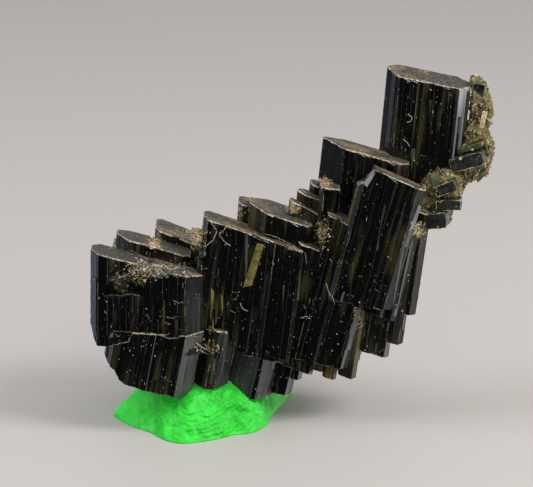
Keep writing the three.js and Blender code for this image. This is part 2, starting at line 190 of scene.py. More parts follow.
def makeTopMaterial():
    material, shader, node, link = newMaterial("crystalTop")
    layers = streaks(node, link, (2.2, 2.2, 7.0), 6.0, 0.8)
    patches = streaks(node, link, (0.35, 0.35, 0.5), 2.0, 0.5, 3.0)
    grit = speckle(node, link, 4.0, 5.0, 0.7)
    grey = blendColours(node, link, ramp(node, link, layers, 0.44, 0.60), (0.004, 0.0035, 0.003),
                        (0.105, 0.087, 0.058))
    ochre = blendColours(
        node, link, ramp(node, link, grit, 0.35, 0.7), (0.07, 0.04, 0.012), (0.42, 0.28, 0.11))
    patch = ramp(node, link, patches, 0.50, 0.62)
    amount = combine(node, link, "MULTIPLY", patch, ramp(node, link, grit, 0.42, 0.55))
    link(blendColours(node, link, amount, grey, ochre), shader.inputs["Base Color"])
    link(ramp(node, link, grit, 0.3, 0.7, 0.4, 0.8), shader.inputs["Roughness"])
    shader.inputs["IOR"].default_value = 1.5
    first = bump(node, link, None, layers, 0.08, 0.9)
    bump(node, link, shader, grit, 0.08, 0.9, first)
    return material


def makeRimMaterial():
    # the pale top rims: chipped wear, and in part a painted highlight along the top edges
    material, shader, node, link = newMaterial("rimWearAndHighlight")
    grit = speckle(node, link, 5.0, 4.0, 0.7)
    shade = ramp(node, link, grit, 0.40, 0.62)
    tint = blendColours(node, link, shade, (0.06, 0.052, 0.035), (0.60, 0.55, 0.43))
    link(tint, shader.inputs["Base Color"])
    shader.inputs["Roughness"].default_value = 0.45
    bump(node, link, shader, grit, 0.04, 0.7)
    return material


def makeFractureMaterial():
    material, shader, node, link = newMaterial("freshBreak")
    grit = speckle(node, link, 3.2, 5.0, 0.7)
    coarse = speckle(node, link, 1.1, 2.0, 0.5)
    pale = blendColours(
        node, link, ramp(node, link, grit, 0.45, 0.58), (0.02, 0.018, 0.013), (0.42, 0.38, 0.29))
    colour = blendColours(node, link, ramp(node, link, coarse, 0.40, 0.55), (0.008, 0.008, 0.006), pale)
    link(colour, shader.inputs["Base Color"])
    link(ramp(node, link, grit, 0.4, 0.6, 0.3, 0.7), shader.inputs["Roughness"])
    shader.inputs["IOR"].default_value = 1.5
    bump(node, link, shader, grit, 0.12, 0.9)
    return material


def makeStoneMaterial(name, dark, light, rough=0.7, scale=3.0, relief=0.08):
    # rough sets the middle of the roughness, scale the grains per millimetre, relief their height
    material, shader, node, link = newMaterial(name)
    grit = speckle(node, link, scale, 5.0, 0.7)
    coarse = speckle(node, link, scale * 0.3, 2.0, 0.5)
    fineShare = combine(node, link, "MULTIPLY", grit, 0.6)
    mixed = combine(node, link, "ADD", fineShare, combine(node, link, "MULTIPLY", coarse, 0.4))
    tint = blendColours(node, link, ramp(node, link, mixed, 0.38, 0.62), dark, light)
    link(tint, shader.inputs["Base Color"])
    link(ramp(node, link, grit, 0.3, 0.7, rough - 0.15, rough + 0.1), shader.inputs["Roughness"])
    bump(node, link, shader, grit, relief, 0.8)
    return material


def makePuttyMaterial():
    material, shader, node, link = newMaterial("greenPutty")
    grit = speckle(node, link, 2.2, 4.0, 0.6)
    folds = speckle(node, link, 0.5, 2.0, 0.5)
    shade = ramp(node, link, folds, 0.35, 0.65)
    tint = blendColours(node, link, shade, (0.010, 0.60, 0.022), (0.03, 0.88, 0.05))
    link(tint, shader.inputs["Base Color"])
    shader.inputs["Roughness"].default_value = 0.5
    shader.inputs["Subsurface Weight"].default_value = 0.25
    shader.inputs["Subsurface Radius"].default_value = (0.1, 1.0, 0.15)
    shader.inputs["Subsurface Scale"].default_value = 0.001
    bump(node, link, shader, grit, 0.12, 0.9)
    return material


def makeMarkMaterial(name, dark, light, rough=0.6, scale=5.0, relief=0.02):
    return makeStoneMaterial(name, dark, light, rough, scale, relief)  # finer, for chips and thin lines


# sides: dark colour, light colour, spread, roughness from and to, and the IOR where it isn't the stone's own
finishes = {
    "side": makeSideMaterial(
        "aegirineBlack", aegirine["black"], aegirine["olive"], (0.29, 0.40), (0.10, 0.34)),
    "top": makeTopMaterial(),
    "rim": makeRimMaterial(),
    "break": makeFractureMaterial(),
    "olive": makeSideMaterial(
        "aegirineOlive", (0.010, 0.010, 0.004), (0.085, 0.078, 0.016), (0.20, 0.34), (0.25, 0.5), 1.5),
    "amber": makeSideMaterial(
        "aegirineAmber", (0.02, 0.013, 0.004), (0.30, 0.17, 0.035), (0.20, 0.34), (0.25, 0.5), 1.5),
    "smoky": makeSideMaterial(
        "aegirineSmoky", (0.005, 0.005, 0.003), (0.045, 0.040, 0.012), (0.22, 0.36), (0.16, 0.4)),
    "dull": makeSideMaterial(
        "aegirineDull", (0.004, 0.004, 0.004), (0.03, 0.028, 0.01), (0.30, 0.42), (0.35, 0.6), 1.35),
    # a grey copy of the black aegirine for a bevel: a dim painted sheen
    "paintedSheenDark": makeSideMaterial(
        "aegirinePaintedSheenDark", (0.006, 0.006, 0.007), (0.028, 0.028, 0.030), (0.22, 0.36), (0.35, 0.6), 1.5),
    "slate": makeSideMaterial(
        "aegirineSlate", (0.004, 0.004, 0.005), (0.022, 0.022, 0.027), (0.22, 0.40), (0.4, 0.7), 1.3),
    # a light grey copy of the black aegirine for the right bevel of the tallest crystal: a painted highlight
    "bright": makeSideMaterial(
        "aegirinePaintedHighlight", (0.07, 0.075, 0.09), (0.36, 0.38, 0.42), (0.16, 0.34), (0.3, 0.5), 1.6),
    # a lighter grey copy of the black aegirine for bevels: a painted sheen
    "satin": makeSideMaterial(
        "aegirinePaintedSheen", (0.016, 0.016, 0.017), (0.055, 0.055, 0.055), (0.20, 0.36), (0.4, 0.6)),
}
crystalFinishes = list(finishes)  # the order of the material slots
finishList = [finishes[n] for n in crystalFinishes]
print("materials made")


# the crystals
# The corners and sizes are those of the part's solids, here with growth lines, pale rims and laths; the pale
# rims are chipped wear and in part a painted highlight along the top edges.
# Edges run from 0, the front, anticlockwise seen from above; finishOf gives an edge a finish of its own, on
# some bevels a lighter copy of the black that is a painted sheen or a painted highlight.
def crystal(name, at, front, size, left, right, slopes, laths=0, finish="side", finishOf=None, rise=0):
    # at: x and z of the top's front left corner. size: wide, deep, long. left, right: width and depth of
    # the bevels. slopes: degrees of the lean, the top's fall and the foot. rise: of the top, to the back
    return {"name": name, "at": at, "front": front, "wide": size[0], "deep": size[1], "long": size[2],
            "left": left, "right": right, "lean": slopes[0], "fall": slopes[1], "foot": slopes[2],
            "laths": laths, "finish": finish, "finishOf": finishOf or {}, "rise": rise}


crystals = [
    crystal("leftBlock", (-19.2, 19.1), -4.9, (8.6, 3.4, 9.6), (0.8, 1.3), (2.1, 2.1), (1.5, 15, 8),
            laths=16, finishOf={1: "slate"}),
    crystal("leftFoot", (-17.6, 11.1), -5.1, (6.9, 4.6, 5.6), (0.7, 1.2), (1.7, 1.9), (11, 4, 13),
            laths=12, finishOf={1: "satin"}),
    crystal("secondStep", (-16.4, 19.6), -1.9, (5.4, 3.3, 14.5), (1.2, 1.2), (0.8, 0.9), (2, 17, 10),
            laths=12),
    crystal("thirdStep", (-13.4, 19.6), 1.0, (5.2, 4.2, 14.2), (0.5, 0.9), (0.8, 0.9), (3, 22, 12), laths=12),
    crystal("broadFace", (-8.4, 22.1), -3.2, (9.5, 3.2, 13.2), (0.5, 1.0), (0.3, 0.6), (7, 19.5, 13),
            laths=26),
    crystal("narrowNeighbour", (0.7, 19.5), -2.8, (3.0, 3.0, 12.9), (0.3, 0.5), (0.4, 0.5), (9, 22, 22),
            laths=12),
    crystal("lowShoulder", (3.6, 22.4), -3.0, (4.7, 2.8, 15.4), (0.2, 0.4), (0.9, 1.1), (13, 20, 14),
            laths=16),
    crystal("stepBehind", (-2.7, 22.5), -2.3, (4.1, 5.0, 14.0), (1.7, 1.8), (0.6, 1.1), (6, 19, 15),
            laths=12, finishOf={7: "smoky"}),
    crystal("slimStep", (-5.1, 22.6), 0.2, (1.3, 3.2, 14.5), (0.4, 0.8), (0.3, 0.3), (4, 14, 15),
            finish="smoky"),
    crystal("smallStepLow", (-0.2, 23.2), -0.5, (3.2, 1.4, 9), (0.2, 0.4), (0.3, 0.4), (7, 27, 20),
            finish="smoky"),
    crystal("smallStepMiddle", (1.1, 23.6), 0.4, (2.4, 2.2, 11), (0.7, 0.8), (0.3, 0.5), (6, 20, 20),
            finish="smoky"),
    crystal("smallStepHigh", (2.1, 24.2), 1.7, (2.4, 2.2, 12), (0.4, 0.6), (0.3, 0.5), (6, 22, 20),
            finish="smoky"),
    crystal("roundColumn", (3.0, 24.9), -1.5, (1.1, 3.2, 11), (0.4, 0.6), (0.5, 0.4), (4, 10, 20), laths=4),
    crystal("secondTallest", (5.1, 28.4), 0.2, (5.4, 3.6, 19), (2.2, 2.0), (1.2, 1.2), (6, 16.5, 15),
            laths=18, finishOf={7: "dull"}),
    # its right bevel carries the painted highlight
    crystal("tallest", (10.5, 35.1), 2.6, (6.0, 3.0, 12.6), (1.2, 1.7), (1.2, 1.1), (4.5, 12, -12),
            laths=22, finishOf={7: "dull", 6: "dull", 1: "bright"}, rise=11),
    crystal("frontRight", (7.3, 27.5), -3.4, (5.2, 2.0, 14.2), (0.6, 0.5), (0.9, 0.9), (14.5, 24, 12),
            laths=16, finishOf={7: "olive", 1: "dull"}),
    crystal("rightStrip", (9.4, 22.5), -2.4, (2.6, 3.0, 10.6), (0.3, 0.3), (0.9, 1.0), (12, 24, 22),
            laths=8, finishOf={1: "dull"}),
    crystal("rightEdge", (11.9, 22.6), -1.3, (1.1, 3.0, 10.9), (0.3, 0.3), (0.7, 0.9), (7, 24, 20),
            laths=6, finish="smoky", finishOf={1: "dull", 2: "dull"}),
    crystal("footStrip", (0.9, 12), -2.5, (2.7, 2.6, 5.6), (0.2, 0.4), (0.3, 0.4), (7, 15, 14),
            laths=4, finish="smoky"),
    crystal("amberFoot", (4.5, 14), -2.5, (0.9, 2.4, 8.9), (0.2, 0.3), (0.3, 0.4), (9, 20, 18),
            finish="amber"),
    crystal("oliveFoot", (5.9, 14), -2.1, (1.2, 2.8, 8.8), (0.2, 0.3), (0.5, 0.6), (8, 20, 22),
            finish="olive"),
    crystal("rightFoot", (8.2, 17), -1.7, (2.2, 3.0, 9.4), (0.5, 0.5), (0.6, 0.8), (8, 20, 18),
            laths=5, finish="smoky"),
    crystal("lastFoot", (10.6, 17), -1.5, (1.0, 2.6, 8.5), (0.2, 0.3), (0.5, 0.6), (7, 20, 16),
            laths=3, finish="smoky", finishOf={1: "dull"}),
    crystal("middleFoot", (-7.7, 10.7), -3.7, (0.9, 5.0, 6.43), (1.2, 1.4), (1.3, 1.5), (11, 12, 2),
            laths=4, finish="smoky", finishOf={1: "paintedSheenDark"}),
    crystal("sharpFoot", (-2.5, 11), -2.6, (0.4, 5.4, 8.3), (3.5, 1.6), (2.3, 2.0), (12.8, 18, 3),
            laths=8, finishOf={1: "satin", 7: "satin"}),
    crystal("groovedFoot", (-0.6, 11), -1.5, (1.5, 4.4, 8.1), (0.9, 0.6), (0.7, 0.9), (12.5, 18, 9), laths=6),
    crystal("footEnd", (1.2, 11), -1.3, (0.5, 3.8, 6.6), (0.6, 0.5), (0.4, 0.6), (11, 18, 14)),
    crystal("backLeft", (-17.0, 16.8), 2.4, (6.2, 4.8, 12.0), (1.4, 1.6), (1.5, 1.6), (2, 18, 10), laths=20),
    crystal("backLeftRidge", (-12.8, 17.4), 3.8, (4.6, 3.4, 12.4), (1.0, 1.2), (1.3, 1.4), (4, 19, 12),
            laths=14),
    crystal("backMiddle", (-9.0, 18.2), -0.4, (6.4, 6.8, 13.8), (1.4, 1.6), (1.4, 1.6), (7, 19, 14),
            laths=18),
    crystal("backRidge", (-4.2, 17.0), 3.0, (4.2, 3.6, 11.4), (1.3, 1.5), (1.1, 1.2), (8, 20, 16), laths=14),
    crystal("backRight", (2.2, 20.2), -0.6, (5.6, 3.2, 12.6), (1.2, 1.4), (1.2, 1.4), (9, 20, 18), laths=16),
    crystal("backShoulder", (8.4, 24.6), 0.45, (3.4, 3.55, 9.0), (0.9, 1.1), (0.9, 1.1), (8, 22, 22),
            laths=12),
]
growth = {
    "ribWidth": 1.15, "ribRelief": 0.14,  # the ribs of the solids
    "fineWidth": (0.09, 0.62), "fineRelief": 0.06, "fineFlank": 0.02,  # lines between them
    "rimChip": (0.04, 0.15), "bigChip": 0.35, "footChip": 1.1, "topChip": 0.9, "rings": 7,
}
lathShape = {
    "edges": {0: 6, 1: 2, 2: 0.7, 4: 3, 6: 0.7, 7: 2},  # how often each edge carries a lath
    "wide": (0.15, 1.0), "widestShare": 0.6, "narrowest": 0.1, "span": (0.12, 0.7), "spanPerWidth": 6,
    "shortest": 0.5, "broad": 0.7,  # broader ones start at the top
    "proud": (0.02, 0.10), "root": -0.35, "soft": 0.03, "shrink": 0.04, "endStep": 0.05,
    "slope": (-0.5, -0.1), "footSlope": (-0.6, 0.4),
}


def fallSlope(c, key):
    lean, fall = math.radians(c["lean"]), math.tan(math.radians(c[key]))
    return (math.sin(lean) - fall * math.cos(lean)) / (math.cos(lean) + fall * math.sin(lean))


def topOf(c, u, w):
    return u * fallSlope(c, "fall") + w * math.tan(math.radians(c["rise"]))


def footOf(c, u):
    return u * fallSlope(c, "foot") - c["long"]


def inSpace(c, u, w, v):
    lean = math.radians(c["lean"])
    return Vector((
        c["at"][0] + u * math.cos(lean) + v * math.sin(lean),
        c["front"] + w,
        c["at"][1] - u * math.sin(lean) + v * math.cos(lean)))


def corners(c):
    # the eight corners in plan, u along the front face and w to the back
    (leftWide, leftDeep), (rightWide, rightDeep) = c["left"], c["right"]
    wide, deep = c["wide"], c["deep"]
    backLeft = min(leftDeep * 0.7, (deep - leftDeep) * 0.7)
    backRight = min(rightDeep * 0.7, (deep - rightDeep) * 0.7)
    return [(0, 0), (wide, 0), (wide + rightWide, rightDeep), (wide + rightWide, deep - backRight),
            (wide, deep), (0, deep), (-leftWide, deep - backLeft), (-leftWide, leftDeep)]


def broadRibs(wide, seed):
    steps, u, depth, k = [], 0.0, 0.0, 0
    while u < wide:
        start = u
        u = min(wide, u + growth["ribWidth"] * (0.35 + 1.3 * scatter(seed + k)))
        if wide - u < growth["ribWidth"] * 0.3:
            u = wide
        steps.append((start, u, depth))
        depth = growth["ribRelief"] * scatter(seed + k + 50.5)
        k += 1
    return steps


def ribDepth(steps, u):
    for start, end, depth in steps:
        if start <= u <= end:
            return depth
    return 0.0


def section(c, seed, rng):
    # points round the crystal as (u, w, outward u, outward w, rib depth, line depth, edge)
    points = []
    ring = corners(c)
    steps = broadRibs(c["wide"], seed)
    for e in range(8):
        a, b = Vector(ring[e]), Vector(ring[(e + 1) % 8])
        length = (b - a).length
        along = (b - a).normalized()
        out = Vector((along.y, -along.x))
        s, relief = 0.0, 0.0
        low, high = growth["fineWidth"]
        marks = [(0.0, 0.0)]
        while s < length - low:
            s2 = min(length, s + low + (high - low) * rng.random() ** 2.4)
            if length - s2 < low:
                s2 = length
            marks.append((s + growth["fineFlank"], relief))
            if s2 < length:
                marks.append((s2, relief))
            relief = growth["fineRelief"] * rng.random() ** 1.5
            s = s2
        for s, relief in marks:
            p = a + along * s
            broad = ribDepth(steps, p.x) if e == 0 else 0.0
            points.append((p.x, p.y, out.x, out.y, broad, relief, e))
    return points


def crystalMesh(c, seed):
    rng = random.Random(seed * 31 + 5)
    points = section(c, seed, rng)
    count = len(points)
    side = crystalFinishes.index(c["finish"])
    top, rim, broken = (crystalFinishes.index(k) for k in ("top", "rim", "break"))
    chipLow, chipHigh = growth["rimChip"]

    def chip(k, offset):
        # how much of the rim is worn away at point k
        p = points[k]
        n = noise.noise(Vector((p[0] * 1.7, p[1] * 1.7, seed * 3.1 + offset)))
        big = max(0.0, noise.noise(Vector((p[0] * 0.6, p[1] * 0.6, seed * 1.7 + offset))) - 0.25)
        return chipLow + (chipHigh - chipLow) * max(0.0, min(1.0, 0.5 + n)) + growth["bigChip"] * big

    layers = []
    footChips = [chip(k, 40) for k in range(count)]
    topChips = [chip(k, 0) for k in range(count)]
    rings = growth["rings"]
    for r in range(-1, rings + 2):
        ring = []
        for k, (u, w, nu, nw, broad, relief, _) in enumerate(points):
            t = min(1.0, max(0.0, r / rings))
            wave = 0.45 * math.sin(k * 2.1 + seed) * math.sin(t * 5.3 + k * 0.9 + seed)
            swell = 0.55 + wave + 0.2 * noise.noise(Vector((k * 0.8, t * 3.0, seed)))
            inset = broad + relief * max(0.0, min(1.4, swell))
            if r == -1:
                inset += footChips[k] * growth["footChip"]
            if r == rings + 1:
                inset += topChips[k] * growth["topChip"]
            uu, ww = u - nu * inset, w - nw * inset
            low, high = footOf(c, uu), topOf(c, uu, ww)
            if r == -1:
                v = low
            elif r == rings + 1:
                v = high
            elif r == 0:
                v = low + footChips[k]
            elif r == rings:
                v = high - topChips[k]
            else:
                v = low + footChips[k] + (high - low - footChips[k] - topChips[k]) * t
            ring.append((uu, ww, v))
        layers.append(ring)

    bm = bmesh.new()
    grain = bm.loops.layers.float_vector.new("grain")
    shift = Vector((seed * 13.7, seed * 5.1, seed * 7.9))
    local = {}
    verts = []
    for ring in layers:
        row = []
        for u, w, v in ring:
            vert = bm.verts.new(inSpace(c, u, w, v) * mm)
            local[vert] = Vector((u, v, w)) + shift
            row.append(vert)
        verts.append(row)
    for r in range(len(verts) - 1):
        for k in range(count):
            own = c["finishOf"].get(points[k][6])
            if r == len(verts) - 2:
                index = rim
            elif r == 0:
                index = broken
            else:
                index = crystalFinishes.index(own) if own else side
            j = (k + 1) % count
            face = bm.faces.new((verts[r][k], verts[r][j], verts[r + 1][j], verts[r + 1][k]))
            face.material_index = index
    bm.faces.new(verts[-1]).material_index = top
    bm.faces.new(list(reversed(verts[0]))).material_index = broken
    bmesh.ops.triangulate(bm, faces=bm.faces[:], quad_method="BEAUTY", ngon_method="BEAUTY")
    for face in bm.faces:
        for loop in face.loops:
            loop[grain] = local[loop.vert]
    return bm


def lathMesh(c, seed, edge, s0, s1, low, high, proud, finish, slantLow, slantHigh):
    # a thin prism on one face of the crystal, from s0 to s1 across it and from low to high along it
    ring = corners(c)
    a, b = Vector(ring[edge]), Vector(ring[(edge + 1) % 8])
    along = (b - a).normalized()
    out = Vector((along.y, -along.x))
    inner, soft = lathShape["root"], min(lathShape["soft"], (s1 - s0) * 0.2)
    outline = [(s0, inner), (s1, inner), (s1, proud - soft), (s1 - soft, proud),
               (s0 + soft, proud), (s0, proud - soft)]
    bm = bmesh.new()
    grain = bm.loops.layers.float_vector.new("grain")
    shift = Vector((seed * 3.7, seed * 9.1, seed * 1.9))
    local, rows = {}, []
    for level, step in enumerate((0.0, lathShape["endStep"], -lathShape["endStep"], 0.0)):
        row = []
        for s, o in outline:
            shrink = lathShape["shrink"] if level in (0, 3) and o > inner else 0.0
            p = a + along * (s + (0.5 * (s0 + s1) - s) * shrink) + out * (o - shrink * 0.8)
            slant = (s - s0) * (slantLow if level < 2 else slantHigh)
            v = (low if level < 2 else high) + slant + step
            vert = bm.verts.new(inSpace(c, p.x, p.y, v) * mm)
            local[vert] = Vector((p.x, v, p.y)) + shift
            row.append(vert)
        rows.append(row)
    count = len(outline)
    side = crystalFinishes.index(finish)
    for r in range(3):
        for k in range(count):
            j = (k + 1) % count
            face = bm.faces.new((rows[r][j], rows[r][k], rows[r + 1][k], rows[r + 1][j]))
            face.material_index = side
    bm.faces.new(list(reversed(rows[-1]))).material_index = side
    bm.faces.new(rows[0]).material_index = side
    bmesh.ops.triangulate(bm, faces=bm.faces[:])
    for face in bm.faces:
        for loop in face.loops:
            loop[grain] = local[loop.vert]
    bmesh.ops.recalc_face_normals(bm, faces=bm.faces[:])
    return bm


def toObject(name, bm, materials):
    mesh = bpy.data.meshes.new(name)
    bm.to_mesh(mesh)
    bm.free()
    for material in materials:
        mesh.materials.append(material)
    made = bpy.data.objects.new(name, mesh)
    bpy.context.scene.collection.objects.link(made)
    return made


def joinSolids(base, others, operation="UNION"):
    # one closed body out of several; the helpers are removed
    for k, other in enumerate(others):
        step = base.modifiers.new(f"join{k}", "BOOLEAN")
        step.operation = operation
        step.solver = "MANIFOLD"
        step.object = other
    bpy.context.view_layer.update()
    evaluated = base.evaluated_get(bpy.context.evaluated_depsgraph_get())
    mesh = bpy.data.meshes.new_from_object(evaluated)
    base.modifiers.clear()
    base.data = mesh
    for other in others:
        bpy.data.objects.remove(other)
    return base


def growLaths(c, seed):
    rng = random.Random(seed * 17 + 3)
    made = []
    ring = corners(c)
    lengths = [(Vector(ring[(e + 1) % 8]) - Vector(ring[e])).length for e in range(8)]
    edges = lathShape["edges"]
    least, more = lathShape["wide"]
    for k in range(c["laths"]):
        edge = rng.choices(list(edges), weights=list(edges.values()))[0]
        wide = min(lengths[edge] * lathShape["widestShare"], least + more * rng.random() ** 2)
        if wide < lathShape["narrowest"]:
            continue
        s0 = rng.uniform(0.02, max(0.03, lengths[edge] - wide - 0.02))
        span = max(c["long"] * rng.uniform(*lathShape["span"]), wide * lathShape["spanPerWidth"])
        mid = -c["long"] * rng.uniform(0.0, 1.0)
        low = max(-c["long"] * 1.02, mid - span)
        p = Vector(ring[edge]).lerp(Vector(ring[(edge + 1) % 8]), s0 / lengths[edge])
        high = topOf(c, p.x, p.y) - 0.05
        if wide < lathShape["broad"]:
            high = min(mid, high)
        low = max(low, footOf(c, p.x) + 0.1)
        if high - low < lathShape["shortest"]:
            continue
        proud = rng.uniform(*lathShape["proud"]) * (0.5 + 0.5 * rng.random())
        slope = rng.uniform(*lathShape["slope"])
        bm = lathMesh(c, seed + k * 0.37, edge, s0, s0 + wide, low, high, proud, c["finish"],
                      rng.uniform(*lathShape["footSlope"]), slope)
        made.append(toObject(f"lath{k}", bm, finishList))
    return made


solids = {}
for number, c in enumerate(crystals):
    seed = number * 7 + 1
    base = toObject(c["name"], crystalMesh(c, seed), finishList)
    before = len(base.data.vertices)
    laths = growLaths(c, seed)
    solids[c["name"]] = joinSolids(base, laths) if laths else base
    print(c["name"], before, "->", len(base.data.vertices), "laths", len(laths))
print("crystals grown")

# pieces broken out of the crystals
# outlines hold x, z and the rise at the back of the break; near and far are y
# rough: longest edge, then size and features per millimetre of each roughness
cutRough = {"breaks": (0.3, [(0.2, 1.0), (0.06, 3.0)]), "flakes": (0.2, [(0.08, 1.6), (0.03, 4.0)])}
breaks = [
    {"of": ("leftBlock", "leftFoot", "secondStep"), "near": -5.6, "far": -2.8, "outline": [
        (-15.3, 18.5, 0.0), (-15.7, 17.4, 0.7), (-14.9, 16.9, 1.0), (-14.1, 16.7, 0.9), (-13.0, 16.3, 1.2),
        (-12.3, 16.9, 0.7), (-11.5, 16.8, 1.0), (-10.4, 17.0, 0.9), (-9.7, 18.2, 0.8), (-8.9, 19.0, 0.8),
        (-8.2, 19.6, 1.0), (-7.4, 21.2, 0.8), (-7.0, 22.5, 0), (-15.3, 22.5, 0)]},
    {"of": ("leftBlock", "leftFoot", "secondStep"), "near": -5.6, "far": 3.0, "outline": [
        (-21, 12.7, 0), (-20.4, 12.7, 0), (-20.1, 10.8, 0.5), (-19.6, 9.4, 0.4), (-19.0, 8.7, 0.6),
        (-18.7, 7.8, 0.4), (-17.9, 7.1, 0.4), (-17.5, 5.9, 0.3), (-16.2, 5.3, 0.2), (-14.7, 4.7, 0.2),
        (-13.4, 4.4, 0.2), (-13.0, 3.6, 0), (-21, 3.6, 0)], "finish": "black"},
    {"of": ("leftFoot",), "near": -5.6, "far": -4.94, "outline": [
        (-20, 8.7, 0), (-19.1, 9.0, 0), (-18.4, 9.5, 0), (-16.4, 10.1, 0), (-16.0, 10.9, 0), (-14.2, 11.0, 0),
        (-13.2, 10.8, 0), (-12.2, 10.4, 0), (-11.1, 10.6, 0), (-9.3, 11.0, 0), (-8.0, 11.4, 0), (-8.0, 13, 0),
        (-20, 13, 0)], "finish": "black"},
    {"of": ("broadFace",), "near": -3.8, "far": -2.1, "outline": [
        (-10, 10.7, 0), (-8.9, 10.6, 0.6), (-7.6, 10.8, 0.8), (-6.8, 10.3, 0.6), (-6.1, 9.4, 0.4),
        (-6.0, 8.7, 0.2), (-4.9, 8.5, 0), (-4.9, 7, 0), (-10, 7, 0)], "finish": "black"},
    {"of": ("frontRight",), "near": -4.0, "far": 0, "outline": [
        (5.2, 25.0, 0), (6.95, 25.9, 0), (8.0, 27.2, 0), (8.2, 29.5, 0), (5, 29.5, 0)]},
]
# shallow flakes lost from the front faces; floor is y of the pit's floor
flakes = [
    {"of": ("leftBlock",), "near": -5.6, "floor": -4.5, "outline": [
        (-18.7, 14.7), (-17.0, 14.6), (-15.9, 14.9), (-14.8, 14.6), (-14.6, 15.4), (-15.2, 15.9),
        (-16.3, 16.9), (-17.3, 16.5), (-18.2, 16.2), (-18.7, 15.6)], "finish": "black"},
    {"of": ("narrowNeighbour", "lowShoulder", "broadFace"), "near": -3.6, "floor": -3.15, "outline": [
        (1.3, 18.9), (1.8, 18.4), (1.6, 17.3), (1.9, 16.2), (3.2, 15.8), (3.5, 18.1), (2.4, 18.9)]},
    {"of": ("leftBlock",), "near": -5.6, "floor": -4.72, "outline": [
        (-15.6, 11.6), (-14.4, 11.3), (-13.7, 11.9), (-14.0, 12.6), (-15.0, 12.7)], "finish": "black"},
    {"of": ("leftBlock",), "near": -5.6, "floor": -4.66, "outline": [
        (-13.4, 12.6), (-11.4, 12.4), (-11.2, 12.8), (-12.0, 13.2), (-13.2, 13.1)], "finish": "black"},
    {"of": ("leftBlock",), "near": -5.6, "floor": -4.7, "outline": [
        (-18.3, 10.5), (-17.3, 10.2), (-17.2, 10.9), (-18.0, 11.2)]},
    {"of": ("broadFace",), "near": -3.6, "floor": -3.12, "outline": [
        (-2.6, 18.7), (-2.0, 18.2), (-1.9, 17.0), (-2.5, 16.9), (-2.9, 17.8)], "finish": "black"},
]


def refine(points, triangles, longest):
    # halves every edge that is longer than longest, until none is left; the same each run
    while True:
        middles = {}

        def middle(a, b):
            key = (min(a, b), max(a, b))
            if key not in middles:
                middles[key] = None
                if (points[a] - points[b]).length > longest:
                    points.append((points[a] + points[b]) / 2)
                    middles[key] = len(points) - 1
            return middles[key]

        split = []
        for a, b, c in triangles:
            ab, bc, ca = middle(a, b), middle(b, c), middle(c, a)
            cuts = sum(m is not None for m in (ab, bc, ca))
            if cuts == 0:
                split.append((a, b, c))
            elif cuts == 3:
                split += [(a, ab, ca), (ab, b, bc), (ca, bc, c), (ab, bc, ca)]
            else:
                while (ab is None) if cuts == 1 else (ca is not None):
                    a, b, c, ab, bc, ca = b, c, a, bc, ca, ab
                split += [(a, ab, c), (ab, b, c)] if cuts == 1 else [(ab, b, bc), (a, ab, bc), (a, bc, c)]
        if len(split) == len(triangles):
            return points, triangles
        triangles = split


def roughLoft(rings, slot, longest, shapes):
    # a closed solid through the rings, with finely cut faces moved by smooth noise
    # shapes: (size of the move, features per millimetre)
    count = len(rings[0])
    points = [Vector(p) for ring in rings for p in ring]
    triangles = []
    for r in range(0, (len(rings) - 1) * count, count):
        for k in range(count):
            j = (k + 1) % count
            triangles += [(r + k, r + j, r + count + j), (r + k, r + count + j, r + count + k)]
    last = (len(rings) - 1) * count
    cap = tessellate_polygon([[Vector((p[0], p[2], 0)) for p in rings[0]]])
    for tri in cap:
        a, b, c = (Vector((rings[0][k][0], rings[0][k][2])) for k in tri)
        if (b - a).cross(c - a) < 0:
            tri = (tri[0], tri[2], tri[1])
        triangles.append((tri[2], tri[1], tri[0]))
        triangles.append(tuple(last + k for k in tri))
    points, triangles = refine(points, triangles, longest)
    moved = []
    for p in points:
        offset = Vector((0, 0, 0))
        for size, often in shapes:
            offset += noise.noise_vector(p * often) * size
        moved.append(p + offset)
    bm = bmesh.new()
    grain = bm.loops.layers.float_vector.new("grain")
    verts = [bm.verts.new(p * mm) for p in moved]
    for a, b, c in triangles:
        face = bm.faces.new((verts[a], verts[b], verts[c]))
        face.material_index = slot
        for loop, k in zip(face.loops, (a, b, c)):
            loop[grain] = moved[k]
    if bm.calc_volume(signed=True) < 0:
        bmesh.ops.reverse_faces(bm, faces=bm.faces[:])
    return bm


def cutterMesh(piece, longest, shapes):
    outline = [(*p, 0)[:3] for p in piece["outline"]]
    area = sum(a[0] * b[1] - b[0] * a[1] for a, b in zip(outline, outline[1:] + outline[:1]))
    if area < 0:
        outline.reverse()
    far = piece.get("far", piece.get("floor"))
    rings = [[(x, far, z + rise) for x, z, rise in outline],
             [(x, piece["near"], z) for x, z, rise in outline]]
    slot = crystalFinishes.index("side" if piece.get("finish") == "black" else "break")
    return roughLoft(rings, slot, longest, shapes)


def cutOut(name, pieces, rough):
    own = [piece for piece in pieces if name in piece["of"]]
    if own:
        cutters = [toObject("cutter", cutterMesh(p, *rough), finishList) for p in own]
        joinSolids(solids[name], cutters, "DIFFERENCE")


for name in sorted({n for piece in breaks + flakes for n in piece["of"]}):
    cutOut(name, breaks, cutRough["breaks"])
    cutOut(name, flakes, cutRough["flakes"])
    print("broke", name, len(solids[name].data.vertices))

crystalObject = solids.pop("leftBlock")
joinSolids(crystalObject, list(solids.values()))
crystalObject.name = "aegirineCrystals"
print("crystals joined", len(crystalObject.data.vertices), len(crystalObject.data.polygons))


def surfaceOf(made):
    bm = bmesh.new()
    bm.from_mesh(made.data)
    bmesh.ops.triangulate(bm, faces=bm.faces[:])
    tree = BVHTree.FromBMesh(bm)
    faces = [([v.co.copy() / mm for v in face.verts], face.normal.copy(), face.calc_area() / mm ** 2)
             for face in bm.faces]
    bm.free()
    return tree, faces


crystalTree, crystalFaces = surfaceOf(crystalObject)


